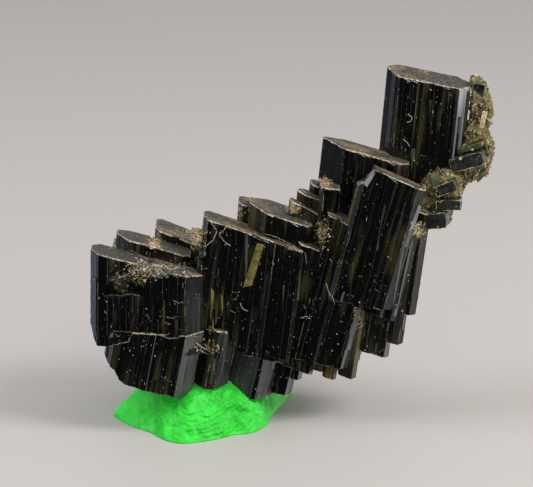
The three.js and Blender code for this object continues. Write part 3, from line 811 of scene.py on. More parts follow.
def seen(px, py, tree=None):
    # the point and the outward direction of the surface that the photograph shows at a pixel
    place, normal, _, _ = (tree or crystalTree).ray_cast(eye * mm, sightLine(px, py))
    if place is None:
        return None, None
    return place / mm, normal


def emptyMesh():
    bm = bmesh.new()
    bm.loops.layers.float_vector.new("grain")
    return bm


def drawSize(rng, limits, power):
    # mostly small sizes; a higher power makes large ones rarer
    low, high = limits
    return low + (high - low) * rng.random() ** power


def loftMesh(rings, slot):
    bm = emptyMesh()
    rows = [[bm.verts.new(Vector(p) * mm) for p in ring] for ring in rings]
    count = len(rings[0])
    for low, high in zip(rows, rows[1:]):
        for k in range(count):
            j = (k + 1) % count
            bm.faces.new((low[k], low[j], high[j], high[k]))
    bm.faces.new(rows[-1])
    bm.faces.new(list(reversed(rows[0])))
    for face in bm.faces:
        face.material_index = slot
    bmesh.ops.recalc_face_normals(bm, faces=bm.faces[:])
    bmesh.ops.triangulate(bm, faces=bm.faces[:])
    return bm


def addTube(bm, path, radius, sides, slot=0, flat=None):
    # a closed thin strand through the points; flat gives the outward direction at each point
    rows = []
    for k, p in enumerate(path):
        before, after = path[max(0, k - 1)], path[min(len(path) - 1, k + 1)]
        along = (after - before)
        if along.length < 1e-6:
            along = Vector((0, 0, 1))
        along.normalize()
        out = flat[k] if flat else along.orthogonal()
        out = (out - along * out.dot(along))
        if out.length < 1e-4:
            out = along.orthogonal()
        out.normalize()
        side = along.cross(out)
        r = radius(k / (len(path) - 1))
        row = []
        for s in range(sides):
            angle = 2 * math.pi * s / sides
            row.append(bm.verts.new((p + (side * math.cos(angle) + out * math.sin(angle)) * r) * mm))
        rows.append(row)
    made = []
    for low, high in zip(rows, rows[1:]):
        for k in range(sides):
            j = (k + 1) % sides
            made.append(bm.faces.new((low[k], low[j], high[j], high[k])))
    made.append(bm.faces.new(list(reversed(rows[0]))))
    made.append(bm.faces.new(rows[-1]))
    for face in made:
        face.material_index = slot


def addChip(bm, centre, size, rng, slot=0, out=None, flat=1.0, stretch=1.0):
    # an irregular small stone with eight faces; flat below 1 thins it along out, stretch draws it upward
    angle = rng.uniform(0, 6.28)
    axis = Vector((rng.gauss(0, 1), rng.gauss(0, 1), rng.gauss(0, 1))).normalized()
    turn = Matrix.Rotation(angle, 3, axis)
    tips = []
    for v in ((1, 0, 0), (-1, 0, 0), (0, 1, 0), (0, -1, 0), (0, 0, 1), (0, 0, -1)):
        p = turn @ (Vector(v) * size * rng.uniform(0.55, 1.1))
        if out is not None:
            p -= out * p.dot(out) * (1 - flat)
        if stretch != 1.0:
            p += Vector((0.12, 0, 0.99)) * p.z * (stretch - 1)
        tips.append(bm.verts.new((centre + p) * mm))
    a, b, c, d, e, f = tips
    for tri in ((a, c, e), (c, b, e), (b, d, e), (d, a, e), (c, a, f), (b, c, f), (d, b, f), (a, d, f)):
        bm.faces.new(tri).material_index = slot


def addBlock(bm, centre, size, turn, slot, bevel, rng):
    # a small crystal: a box with its long edges cut off. size: long, high, deep
    long, high, deep = size
    cut = min(high, deep) * bevel
    outline = [(-high / 2 + cut, -deep / 2), (high / 2 - cut, -deep / 2), (high / 2, -deep / 2 + cut),
               (high / 2, deep / 2 - cut), (high / 2 - cut, deep / 2), (-high / 2 + cut, deep / 2),
               (-high / 2, deep / 2 - cut), (-high / 2, -deep / 2 + cut)]
    rows = []
    for end in (-1, 1):
        skew = rng.uniform(-0.25, 0.25)
        places = [centre + turn @ Vector((end * long / 2 + h * skew, d, h)) for h, d in outline]
        rows.append([bm.verts.new(place * mm) for place in places])
    made = [bm.faces.new((rows[0][(k + 1) % 8], rows[0][k], rows[1][k], rows[1][(k + 1) % 8]))
            for k in range(8)]
    made.append(bm.faces.new(rows[0]))
    made.append(bm.faces.new(list(reversed(rows[1]))))
    for face in made:
        face.material_index = slot


def finishPiece(name, bm, materials):
    bmesh.ops.recalc_face_normals(bm, faces=bm.faces[:])
    made = toObject(name, bm, materials)
    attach(made, "root")


# cracks and pale edges, traced on the photograph: crack lines, and in part painted highlights on the edges
# along them
cracksAndHighlights = {
    "leftBlock": [
        [(103, 296), (112, 295), (120, 296), (128, 294), (136, 295), (143, 297)],
        [(110, 280), (118, 279), (127, 275), (133, 281), (138, 285)],
        [(101, 352), (108, 347), (118, 344), (128, 342), (132, 334), (141, 333), (150, 333)],
        [(160, 335), (170, 339), (182, 337)], [(150, 333), (160, 335)], [(182, 337), (192, 336), (203, 338)],
        [(146, 313), (150, 320), (155, 327)], [(160, 315), (170, 318), (180, 316)],
        [(163, 322), (172, 325)], [(113, 330), (117, 336), (121, 337)], [(128, 312), (132, 317), (136, 322)],
        [(104, 310), (108, 316)], [(172, 300), (178, 303), (185, 302)],
    ],
    "ledges": [
        [(262, 233), (276, 237), (290, 244), (305, 252)], [(305, 252), (307, 265)],
        [(276, 240), (273, 262), (270, 285)],
        [(130, 250), (140, 255), (150, 260)], [(232, 293), (236, 292), (238, 296), (235, 300), (232, 297)],
    ],
    "thin": 0.045, "swing": (0.35, 1.3), "taper": 8, "step": 0.12, "jitter": 0.45, "jump": 0.8, "sunk": 0.01,
}
pixel = 0.1  # millimetres of the object in a pixel of the photograph
crackAndHighlightMaterial = makeMarkMaterial("crackAndHighlightEdge", (0.05, 0.045, 0.03), (0.45, 0.41, 0.32))


def crackWidth(widths, t):
    own = widths[min(len(widths) - 1, int(t * len(widths)))]
    return cracksAndHighlights["thin"] * own * min(1, cracksAndHighlights["taper"] * t + 0.2, cracksAndHighlights["taper"] * (1 - t) + 0.2)


rng = random.Random(11)
bm = emptyMesh()
for line in cracksAndHighlights["leftBlock"] + cracksAndHighlights["ledges"]:
    path, outward = [], []
    for (ax, ay), (bx, by) in zip(line, line[1:]):
        steps = max(2, int(math.hypot(bx - ax, by - ay) * pixel / cracksAndHighlights["step"]))
        for k in range(steps):
            t = k / steps
            stray = [rng.uniform(-cracksAndHighlights["jitter"], cracksAndHighlights["jitter"]) for _ in range(2)]
            place, normal = seen(ax + (bx - ax) * t + stray[0], ay + (by - ay) * t + stray[1])
            if place is None or (path and (place - path[-1]).length > cracksAndHighlights["jump"]):
                continue
            path.append(place - normal * cracksAndHighlights["sunk"])
            outward.append(normal)
    if len(path) > 2:
        widths = [rng.uniform(*cracksAndHighlights["swing"]) for _ in path]
        addTube(bm, path, lambda t: crackWidth(widths, t), 4, 0, outward)
finishPiece("crackAndHighlightEdges", bm, [crackAndHighlightMaterial])

# the long edges of the crystals, as broken pale lines: worn edges, and in part painted highlights along them
wearAndHighlight = {
    "corners": (0, 1, 2, 7), "thick": (0.012, 0.034), "share": 0.55, "longest": 3.2, "gap": (0.05, 0.7),
    "shortest": 0.15, "step": 0.25, "stray": 0.012, "touch": 0.06,
}
rng = random.Random(17)
bm = emptyMesh()
for c in crystals:
    ring = corners(c)
    for corner in wearAndHighlight["corners"]:
        u, w = ring[corner]
        v, top = footOf(c, u) + 0.2, topOf(c, u, w) - 0.1
        while v < top - 0.3:
            end = min(top, v + rng.uniform(wearAndHighlight["step"], wearAndHighlight["longest"]) * rng.random())
            if rng.random() < wearAndHighlight["share"] and end - v > wearAndHighlight["shortest"]:
                steps = max(2, int((end - v) / wearAndHighlight["step"]))
                path = []
                for k in range(steps + 1):
                    stray = [rng.gauss(0, wearAndHighlight["stray"]) for _ in range(2)]
                    path.append(inSpace(c, u + stray[0], w + stray[1], v + (end - v) * k / steps))
                away = crystalTree.find_nearest(path[len(path) // 2] * mm)[3]
                if away < wearAndHighlight["touch"] * mm:  # only where the edge isn't buried in a neighbour
                    thick = rng.uniform(*wearAndHighlight["thick"])
                    addTube(bm, path, lambda t: thick * min(1, 0.3 + 5 * t, 0.3 + 5 * (1 - t)), 4,
                            rng.choices((0, 1), (2, 1))[0])
            v = end + rng.uniform(*wearAndHighlight["gap"])
finishPiece("edgeWearAndHighlights", bm, [
    makeMarkMaterial("edgePaleWearAndHighlight", (0.10, 0.095, 0.07), (0.42, 0.40, 0.33)),
    makeMarkMaterial("edgeOlive", (0.05, 0.045, 0.012), (0.28, 0.25, 0.09)),
])

# dust and white specks over the faces, more of them on the ledges
dust = {
    "count": 5200, "size": (0.014, 0.085), "sizePower": 3.2,
    "dashes": 1600, "dashSize": (0.016, 0.036), "dashStretch": (2, 9),
    "largeSize": 0.11, "largeAt": [
        (155, 356), (337, 334), (338, 344), (332, 351), (365, 350), (408, 275), (398, 294), (396, 305),
        (402, 311)],
}
dustMaterial = makeMarkMaterial("dustSpecks", (0.28, 0.26, 0.22), (0.75, 0.72, 0.65), 0.7)


def samplesOn(faces, count, rng, weight):
    heavy = [area * weight(normal) for _, normal, area in faces]
    found = rng.choices(range(len(faces)), weights=heavy, k=count)
    for index in found:
        (first, second, third), normal, _ = faces[index]
        a, b = rng.random(), rng.random()
        if a + b > 1:
            a, b = 1 - a, 1 - b
        yield first + (second - first) * a + (third - first) * b, normal


rng = random.Random(23)
bm = emptyMesh()
ledges = samplesOn(crystalFaces, dust["count"], rng, lambda n: 0.35 + 2.5 * max(0, n.z) ** 2)
for place, normal in ledges:
    size = drawSize(rng, dust["size"], dust["sizePower"])
    addChip(bm, place, size, rng, rng.choices((0, 1), (3, 1))[0], normal, 0.5)
sides = samplesOn(crystalFaces, dust["dashes"], rng, lambda n: 1.0 if abs(n.z) < 0.5 else 0.1)
for place, normal in sides:
    size = rng.uniform(*dust["dashSize"])
    slot = rng.choices((0, 1), (1, 1))[0]
    addChip(bm, place, size, rng, slot, normal, 0.6, rng.uniform(*dust["dashStretch"]))
for px, py in dust["largeAt"]:
    place, normal = seen(px, py)
    if place is not None:
        addChip(bm, place, dust["largeSize"], rng, 0, normal, 0.6)
finishPiece("dustSpecks", bm, [
    dustMaterial, makeMarkMaterial("oliveSpecks", (0.06, 0.055, 0.02), (0.30, 0.27, 0.10), 0.6)])

# lint caught on the crystals
lint = {"thick": 0.021, "steps": 6, "jump": 1.2, "lift": 0.03, "sway": 0.12, "lines": [
    [(210, 221), (213, 225), (217, 230)], [(219, 233), (223, 231), (227, 226)],
    [(219, 233), (224, 241), (232, 247)],
    [(217, 231), (213, 240), (203, 248)], [(326, 283), (329, 292), (333, 298), (335, 305)],
    [(403, 139), (407, 142), (410, 147)], [(408, 114), (412, 117), (411, 121), (406, 122)],
    [(300, 318), (306, 316), (311, 319)], [(240, 303), (243, 309), (249, 311)],
]}
lintMaterial = makeMarkMaterial("lint", (0.45, 0.43, 0.38), (0.75, 0.72, 0.65), 0.8)
bm = emptyMesh()
for line in lint["lines"]:
    path = []
    for (ax, ay), (bx, by) in zip(line, line[1:]):
        for k in range(lint["steps"]):
            t = k / lint["steps"]
            place, normal = seen(ax + (bx - ax) * t, ay + (by - ay) * t)
            if place is None or (path and (place - path[-1]).length > lint["jump"]):
                continue
            path.append(place + normal * (lint["lift"] + lint["sway"] * abs(math.sin(len(path) * 0.5))))
    if len(path) > 2:
        addTube(bm, path, lambda t: lint["thick"], 5)
finishPiece("lintFibres", bm, [lintMaterial])

# growth laths whose colour stands out and facets whose shine stands out, traced on the photograph; the bright
# and grey facets paint that shine into their colour as painted highlights and painted reflections
plates = [  # finish, how far it stands out, corners in pixels
    ("olive", 0.12, [(257, 243), (264, 245), (252, 285), (243, 287)]),
    ("darkOlive", 0.05, [(268, 246), (269, 246), (264, 290), (263, 290)]),
    ("darkOlive", 0.05, [(206, 290), (209, 286), (208, 330), (205, 327)]),
    ("olive", 0.05, [(211, 288), (214, 291), (213, 329), (209, 333)]),
    ("darkOlive", 0.05, [(216, 285), (219, 287), (217, 322), (215, 325)]),
    ("olive", 0.05, [(221, 297), (223, 293), (223, 330), (220, 327)]),
    ("darkOlive", 0.05, [(225, 288), (227, 289), (226, 322), (225, 320)]),
    ("darkOlive", 0.05, [(128, 312), (136, 314), (135, 322), (129, 320)]),
    ("darkOlive", 0.05, [(151, 296), (154, 296), (153, 330), (151, 328)]),
    ("darkOlive", 0.05, [(163, 300), (165, 300), (165, 325), (162, 326)]),
    ("green", 0.05, [(411, 150), (415, 148), (415, 178), (411, 180)]),
    ("bright", 0.05, [(364, 184), (374, 170), (376, 172), (367, 187)]),
    ("grey", 0.05, [(356, 309), (361, 309), (350, 350), (346, 350)]),
    ("darkOlive", 0.05, [(351, 330), (353, 330), (349, 346), (347, 346)]),
    ("grey", 0.05, [(366, 314), (371, 315), (369, 332), (364, 331)]),
    ("darkOlive", 0.05, [(376, 343), (389, 347), (388, 356), (375, 352)]),
    ("bright", 0.05, [(410, 228), (413, 229), (421, 206), (418, 205)]),
    ("grey", 0.05, [(385, 163), (400, 168), (398, 178), (384, 173)]),
    ("grey", 0.05, [(404, 236), (406, 236), (392, 311), (390, 311)]),
    ("grey", 0.05, [(411, 241), (413, 241), (398, 309), (396, 309)]),
    ("grey", 0.05, [(214, 351), (225, 353), (222, 374), (213, 370)]),
    ("grey", 0.05, [(297, 356), (300, 357), (296, 378), (293, 378)]),
    ("grey", 0.05, [(245, 233), (248, 234), (247, 284), (245, 284)]),
    ("darkOlive", 0.05, [(283, 285), (285, 285), (284, 312), (282, 312)]),
    ("darkOlive", 0.05, [(299, 270), (301, 270), (299, 300), (297, 300)]),
    ("darkOlive", 0.05, [(249, 206), (251, 206), (250, 236), (248, 236)]),
    ("grey", 0.05, [(321, 190), (324, 191), (323, 240), (320, 240)]),
    ("darkOlive", 0.05, [(340, 250), (342, 250), (338, 290), (336, 290)]),
    ("darkOlive", 0.05, [(318, 262), (320, 262), (317, 300), (315, 300)]),
    ("darkOlive", 0.05, [(352, 262), (354, 262), (350, 300), (348, 300)]),
    ("darkOlive", 0.05, [(384, 205), (386, 205), (378, 250), (376, 250)]),
    ("darkOlive", 0.05, [(448, 92), (450, 92), (448, 150), (446, 150)]),
    ("darkOlive", 0.05, [(430, 100), (432, 100), (429, 170), (427, 170)]),
]
plateShape = {"sunk": 0.14, "mostDepth": 1.2, "skew": 0.12}
plateFinishes = {
    "olive": makeMarkMaterial("lathOlive", (0.045, 0.040, 0.006), (0.27, 0.235, 0.045), 0.5, 4.0, 0.06),
    "darkOlive": makeSideMaterial(
        "lathDarkOlive", (0.003, 0.003, 0.002), (0.075, 0.068, 0.016), (0.24, 0.34), (0.25, 0.5), 1.5),
    "green": makeSideMaterial(
        "lathGreen", (0.015, 0.022, 0.004), (0.15, 0.20, 0.035), (0.20, 0.32), (0.25, 0.5), 1.5),
    # bright: a light grey copy of the black aegirine, a painted highlight on the facets it covers
    "bright": makeSideMaterial(
        "facetPaintedHighlight", (0.12, 0.125, 0.14), (0.40, 0.41, 0.43), (0.16, 0.34), (0.3, 0.5), 1.5),
    # grey: a grey copy of the black aegirine, painted reflections on the facets and stripes it covers
    "grey": makeSideMaterial(
        "facetPaintedReflection", (0.006, 0.006, 0.007), (0.07, 0.07, 0.073), (0.18, 0.34), (0.3, 0.5)),
}


def addPlate(bm, outline, slot, lift):
    # a thin slab on the surface; left out where its corners would lie on different crystals
    hits = [seen(px, py) for px, py in outline]
    if any(place is None for place, _ in hits):
        return False
    depths = [place.y for place, _ in hits]
    if max(depths) - min(depths) > plateShape["mostDepth"]:
        return False
    grain = bm.loops.layers.float_vector.get("grain")
    upper = [bm.verts.new((place + normal * lift) * mm) for place, normal in hits]
    lower = [bm.verts.new((place - normal * plateShape["sunk"]) * mm) for place, normal in hits]
    made = [bm.faces.new(upper), bm.faces.new(list(reversed(lower)))]
    count = len(outline)
    for k in range(count):
        j = (k + 1) % count
        made.append(bm.faces.new((upper[j], upper[k], lower[k], lower[j])))
    for face in made:
        face.material_index = slot
        for loop in face.loops:
            p = loop.vert.co / mm
            loop[grain] = Vector((p.x - plateShape["skew"] * p.z, p.z, p.y))
    return True


bm = emptyMesh()
plateSlots = list(plateFinishes)
placed = sum(addPlate(bm, outline, plateSlots.index(finish), lift) for finish, lift, outline in plates)
finishPiece("growthLaths", bm, list(plateFinishes.values()))
print("laths placed", placed, "of", len(plates))

# the crumbled edge at the top of the left block
crumbs = {
    "line": [(112, 281), (127, 274), (140, 267), (155, 274), (163, 269), (175, 270), (187, 272), (196, 262),
             (205, 247)],
    "count": 520, "size": (0.03, 0.32), "sizePower": 2.4, "flat": 0.25, "shares": (4, 1, 7),
    "spread": (1.4, 2.8), "below": 1,  # in pixels, across and down
    "ridges": [[(111, 281), (118, 278), (126, 275), (133, 270), (140, 267), (143, 263)],
               [(146, 262), (150, 267), (155, 271), (159, 267), (163, 265), (168, 269), (172, 270)],
               [(172, 270), (178, 267), (184, 266), (190, 262), (195, 261), (200, 255), (205, 250)]],
    "ridgeThick": 0.045, "ridgeLift": 0.04, "ridgeLongest": 1.6, "ridgeStray": (0.03, 0.04),
}
rng = random.Random(91)
bm = emptyMesh()
for _ in range(crumbs["count"]):
    k = rng.randrange(len(crumbs["line"]) - 1)
    (ax, ay), (bx, by) = crumbs["line"][k], crumbs["line"][k + 1]
    t = rng.random()
    px = ax + (bx - ax) * t + rng.gauss(0, crumbs["spread"][0])
    py = ay + (by - ay) * t + rng.gauss(crumbs["below"], crumbs["spread"][1])
    place, normal = seen(px, py)
    if place is None:
        continue
    size = drawSize(rng, crumbs["size"], crumbs["sizePower"])
    addChip(bm, place, size, rng, rng.choices((0, 1, 2), crumbs["shares"])[0], normal, crumbs["flat"])
for line in crumbs["ridges"]:
    found = [seen(px, py) for px, py in line]
    path = [place + normal * crumbs["ridgeLift"] for place, normal in found if place is not None]
    for a, b in zip(path, path[1:]):
        if (b - a).length < crumbs["ridgeLongest"]:
            stray = [rng.gauss(0, size) for size in crumbs["ridgeStray"]]
            middle = a.lerp(b, 0.5) + Vector((stray[0], 0, stray[1]))
            addTube(bm, [a, middle, b], lambda t: crumbs["ridgeThick"], 4, rng.choice((0, 0, 1)))
finishPiece("crumbs", bm, [
    makeMarkMaterial("crumbGrey", (0.05, 0.047, 0.038), (0.24, 0.225, 0.185)),
    makeMarkMaterial("crumbPale", (0.28, 0.26, 0.21), (0.62, 0.58, 0.50)),
    makeMarkMaterial("crumbDark", (0.01, 0.01, 0.008), (0.07, 0.065, 0.05)),
])

# white splinters where the left block, the broad face and the middle foot meet
splinters = {
    "lines": [((196, 343), (206, 349)), ((199, 346), (212, 352)), ((204, 344), (216, 353)),
              ((200, 350), (209, 355)), ((209, 331), (224, 334)), ((206, 329), (215, 332)),
              ((216, 349), (222, 356)), ((195, 347), (201, 352))],
    "thick": 0.042, "longest": 2.6, "lift": 0.03, "sway": 0.05, "steps": 4,
}
bm = emptyMesh()
for start, end in splinters["lines"]:
    (first, normal), (last, _) = seen(*start), seen(*end)
    if first is None or last is None or (first - last).length > splinters["longest"]:
        continue
    path = []
    for k in range(splinters["steps"] + 1):
        lift = splinters["lift"] + splinters["sway"] * math.sin(k)
        path.append(first.lerp(last, k / splinters["steps"]) + normal * lift)
    addTube(bm, path, lambda t: splinters["thick"] * (1.05 - t), 4)
finishPiece("splinters", bm, [makeMarkMaterial("splinter", (0.30, 0.29, 0.26), (0.70, 0.68, 0.62))])

# ochre grains in the inner corners
ochre = {
    "patches": [  # left, top, right, bottom and how many
        (149, 236, 161, 248, 80), (189, 224, 204, 247, 150), (284, 204, 298, 213, 70),
        (318, 177, 331, 187, 60), (315, 222, 329, 246, 70), (354, 308, 361, 328, 34),
        (412, 222, 424, 238, 60), (283, 198, 292, 206, 30), (196, 340, 218, 354, 26),
        (230, 206, 244, 216, 20), (125, 262, 162, 283, 60), (160, 262, 200, 272, 40)],
    "more": 3, "tight": 3.6, "size": (0.04, 0.20), "sizePower": 1.8, "flat": 0.3, "shares": (5, 4, 1),
}
ochreMaterials = [
    makeMarkMaterial("ochreGrain", (0.20, 0.13, 0.04), (0.55, 0.40, 0.17)),
    makeMarkMaterial("creamGrain", (0.35, 0.29, 0.18), (0.70, 0.62, 0.45)),
    makeMarkMaterial("rustGrain", (0.20, 0.07, 0.015), (0.50, 0.22, 0.05)),
]
rng = random.Random(37)
bm = emptyMesh()
for left, top, right, bottom, count in ochre["patches"]:
    for _ in range(count * ochre["more"]):
        px = rng.gauss((left + right) / 2, (right - left) / ochre["tight"])
        py = rng.gauss((top + bottom) / 2, (bottom - top) / ochre["tight"])
        place, normal = seen(px, py)
        if place is None:
            continue
        size = drawSize(rng, ochre["size"], ochre["sizePower"])
        addChip(bm, place, size, rng, rng.choices((0, 1, 2), ochre["shares"])[0], normal, ochre["flat"])
finishPiece("ochreGrains", bm, ochreMaterials)
print("small marks placed")

# the crust
crustLumps = [
    {"near": 3.3, "far": 6.4, "outline": [
        (17.9, 34.0), (17.8, 34.9), (18.3, 34.8), (18.9, 34.5), (19.2, 33.8), (19.5, 32.9), (19.9, 31.9),
        (20.1, 30.9), (19.6, 30.2), (19.4, 29.3), (19.6, 28.5), (20.2, 27.3), (20.2, 26.2), (19.8, 25.2),
        (19.7, 24.3), (18.8, 24.0), (17.7, 23.6), (16.3, 23.4), (15.4, 24.6), (15.2, 25.4), (15.8, 26.8),
        (16.9, 28.4), (17.7, 30.3), (17.8, 32.4)]},
    {"near": 0.9, "far": 4.6, "outline": [
        (12.7, 24.0), (13.4, 25.2), (14.6, 25.4), (16.1, 25.7), (17.2, 25.3), (16.8, 23.9), (16.3, 22.4),
        (15.8, 21.5), (15.7, 20.3), (15.2, 20.1), (13.4, 20.1), (12.2, 20.8), (12.1, 22.5)]},
]
lumpRings = [  # how far back, and the scale of the outline there
    (1, 0.62), (0.94, 0.76), (0.85, 0.88), (0.7, 0.95), (0.5, 0.98), (0.35, 0.98), (0.2, 0.93), (0.08, 0.84),
    (0, 0.72)]
lumpRough = [(0.32, 0.6), (0.14, 1.6), (0.05, 4.0)]
crustCrystals = [
    {"at": (17.4, 2.4, 26.6), "size": (3.5, 1.35, 1.6), "tilt": 19, "turn": -14, "finish": "dark"},
    {"at": (17.9, 3.0, 27.9), "size": (2.3, 0.45, 1.5), "tilt": 21, "turn": -14, "finish": "green"},
    {"at": (18.4, 3.5, 28.7), "size": (1.7, 0.35, 1.2), "tilt": 30, "turn": -8, "finish": "olive"},
    {"at": (15.2, 0.9, 24.3), "size": (2.2, 1.1, 1.6), "tilt": 24, "turn": -10, "finish": "dark"},
    {"at": (15.5, 0.6, 22.7), "size": (2.5, 1.0, 2.0), "tilt": 4, "turn": -8, "finish": "dark"},
    {"at": (14.3, 0.3, 21.2), "size": (2.4, 1.6, 2.2), "tilt": 9, "turn": -16, "finish": "dark"},
    {"at": (14.0, 0.7, 24.9), "size": (0.8, 1.5, 1.0), "tilt": 8, "turn": 10, "finish": "green"},
    {"at": (18.5, 4.1, 33.5), "size": (1.2, 1.5, 1.6), "tilt": -8, "turn": -12, "finish": "dark"},
    {"at": (18.9, 3.1, 30.6), "size": (0.4, 1.8, 0.6), "tilt": -10, "turn": -20, "finish": "cream"},
]
crustFinishes = {
    "olive": makeStoneMaterial("crustOlive", (0.008, 0.008, 0.004), (0.30, 0.25, 0.09), 0.6, 2.6, 0.14),
    "cream": makeStoneMaterial("crustCream", (0.32, 0.24, 0.10), (0.76, 0.65, 0.38)),
    "rust": makeStoneMaterial("crustRust", (0.16, 0.07, 0.015), (0.52, 0.27, 0.06)),
    "dark": makeStoneMaterial("crustDark", (0.005, 0.006, 0.005), (0.040, 0.044, 0.037), 0.32, 3.0, 0.08),
    "green": makeStoneMaterial("crustGreen", (0.025, 0.035, 0.012), (0.15, 0.17, 0.07), 0.45),
    "grey": makeStoneMaterial("crustGrey", (0.10, 0.10, 0.08), (0.36, 0.35, 0.28), 0.6),
}
crustMaterials, crustSlots = list(crustFinishes.values()), list(crustFinishes)


def blockTurn(tilt, turn, roll=0.0):
    return (Matrix.Rotation(math.radians(turn), 3, "Z") @ Matrix.Rotation(math.radians(-tilt), 3, "Y")
            @ Matrix.Rotation(math.radians(roll), 3, "X"))


def insideBlock(p, c, spare):
    local = blockTurn(c["tilt"], c["turn"]).inverted() @ (p - Vector(c["at"]))
    long, high, deep = c["size"]
    return (abs(local.x) < long / 2 + spare and abs(local.z) < high / 2 + spare
            and abs(local.y) < deep / 2 + 0.6)


def grownBlock(c):
    # a small crystal with worn corners, drawn in a little at its front and back
    long, high, deep = c["size"]
    turn, at, cut = blockTurn(c["tilt"], c["turn"]), Vector(c["at"]), min(c["size"][:2]) * 0.14
    outline = [(-long / 2 + cut, -high / 2), (long / 2 - cut, -high / 2), (long / 2, -high / 2 + cut),
               (long / 2, high / 2 - cut), (long / 2 - cut, high / 2), (-long / 2 + cut, high / 2),
               (-long / 2, high / 2 - cut), (-long / 2, -high / 2 + cut)]
    rings = [[tuple(at + turn @ Vector((x * scale, y * deep, z * scale))) for x, z in outline]
             for y, scale in ((0.5, 0.93), (0.42, 1.0), (-0.42, 1.0), (-0.5, 0.93))]
    return roughLoft(rings, crustSlots.index(c["finish"]), 0.18, [(0.03, 1.2), (0.015, 5.0)])


rng = random.Random(53)
lumpObjects = []
for k, lump in enumerate(crustLumps):
    middle = [sum(p[i] for p in lump["outline"]) / len(lump["outline"]) for i in (0, 1)]
    rings = []
    for at, scale in lumpRings:
        y = lump["near"] + (lump["far"] - lump["near"]) * at
        rings.append([(middle[0] + (x - middle[0]) * scale, y, middle[1] + (z - middle[1]) * scale)
                      for x, z in reversed(lump["outline"])])
    lumpObjects.append(toObject(f"lump{k}", roughLoft(rings, 0, 0.3, lumpRough), crustMaterials))
grown = [toObject(f"grown{k}", grownBlock(c), crustMaterials) for k, c in enumerate(crustCrystals)]
crustObject = joinSolids(lumpObjects[0], lumpObjects[1:] + grown)
_, lumpFaces = surfaceOf(crustObject)
bm = bmesh.new()
bm.from_mesh(crustObject.data)
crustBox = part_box("matrix_crust")
lowCrust = 25.4  # below this height there is more rust in the crust

# broken shards; shares are of olive, cream, rust, dark, green and grey
shards = {
    "count": 760, "long": (0.25, 1.25), "high": (0.10, 0.42), "deep": (0.12, 0.5), "sizePower": 2.2,
    "buried": 0.35, "clear": 0.22, "proud": 0.28, "pastBox": 0.0003, "bevel": (0.05, 0.3),
    "tilt": (0, 180), "turn": (-60, 60), "roll": (-50, 50),
    "lowShares": (24, 12, 14, 44, 20, 10), "highShares": (24, 12, 4, 44, 20, 10),
    "edgedFrom": 0.3, "edgeThick": 0.048,
}
for place, normal in samplesOn(lumpFaces, shards["count"], rng, lambda n: 1.0):
    size = [drawSize(rng, shards[side], shards["sizePower"]) for side in ("long", "high", "deep")]
    inside = place - normal * size[2] * rng.uniform(0.0, shards["buried"])
    edge = max(size) * 0.5
    if any(insideBlock(inside, c, shards["clear"]) for c in crustCrystals):
        continue
    if any(inside[i] * mm - edge * mm < crustBox[0][i] - shards["pastBox"]
           or inside[i] * mm + edge * mm > crustBox[1][i] + shards["pastBox"] for i in range(3)):
        continue
    turn = blockTurn(rng.uniform(*shards["tilt"]), rng.uniform(*shards["turn"]), rng.uniform(*shards["roll"]))
    reach = abs((turn @ Vector((size[0] * 0.5, 0, 0))).dot(normal)) + (inside - place).dot(normal)
    if reach > shards["proud"]:
        continue
    shares = shards["lowShares" if place.z < lowCrust else "highShares"]
    slot = rng.choices(range(6), shares)[0]
    addBlock(bm, inside, size, turn, slot, rng.uniform(*shards["bevel"]), rng)
    # pale lines along the upper and lower front edges of the longer shards: wear, and in part painted
    # highlights along the ridges
    if size[0] > shards["edgedFrom"]:
        for side in (-0.5, 0.5):
            a, b = (inside + turn @ Vector((end * size[0] * 0.5, -size[2] * 0.5, side * size[1]))
                    for end in (-1, 1))
            addTube(bm, [a, a.lerp(b, 0.5), b], lambda t: shards["edgeThick"] * (1.2 - t), 4,
                    rng.choice((1, 1, 1, 5)))

crustGrains = {
    "count": 2900, "size": (0.04, 0.24), "sizePower": 1.6, "flat": 0.8, "clear": 0.1, "keptOff": 0.85,
    "lowShares": (22, 32, 26, 36, 10, 8), "highShares": (22, 32, 8, 36, 10, 8),
}
for place, normal in samplesOn(lumpFaces, crustGrains["count"], rng, lambda n: 1.0):
    onCrystal = any(insideBlock(place, c, crustGrains["clear"]) for c in crustCrystals)
    if onCrystal and rng.random() < crustGrains["keptOff"]:
        continue
    slot = rng.choices(range(6), crustGrains["lowShares" if place.z < lowCrust else "highShares"])[0]
    size = drawSize(rng, crustGrains["size"], crustGrains["sizePower"])
    addChip(bm, place, size, rng, slot, normal, crustGrains["flat"])

# pale edges, here and there, round the front of each dark small crystal: wear, and in part painted highlights
# along the ridges
crustEdgeWearAndHighlight = {
    "across": 0.485, "out": 0.51, "step": 0.22, "stray": 0.03, "share": 0.85, "thick": (0.022, 0.048),
}
for c in crustCrystals:
    if c["finish"] != "dark":
        continue
    long, high, deep = c["size"]
    turn, at = blockTurn(c["tilt"], c["turn"]), Vector(c["at"])
    rim = [at + turn @ Vector((x * long * crustEdgeWearAndHighlight["across"], -deep * crustEdgeWearAndHighlight["out"],
                               z * high * crustEdgeWearAndHighlight["across"]))
           for x, z in ((-1, -1), (1, -1), (1, 1), (-1, 1))]
    for a, b in zip(rim, rim[1:] + rim[:1]):
        steps = max(3, int((b - a).length / crustEdgeWearAndHighlight["step"]))
        path = [a.lerp(b, k / steps) + Vector([rng.gauss(0, crustEdgeWearAndHighlight["stray"]) for _ in range(3)])
                for k in range(steps + 1)]
        for start in range(0, steps, 2):
            if rng.random() < crustEdgeWearAndHighlight["share"]:
                wide = rng.uniform(*crustEdgeWearAndHighlight["thick"])
                addTube(bm, path[start:start + 3], lambda t: wide * (1.15 - 0.6 * t), 4, rng.choice((1, 5)))
bm.to_mesh(crustObject.data)
bm.free()
crustObject.name = "crust"
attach(crustObject, "root")
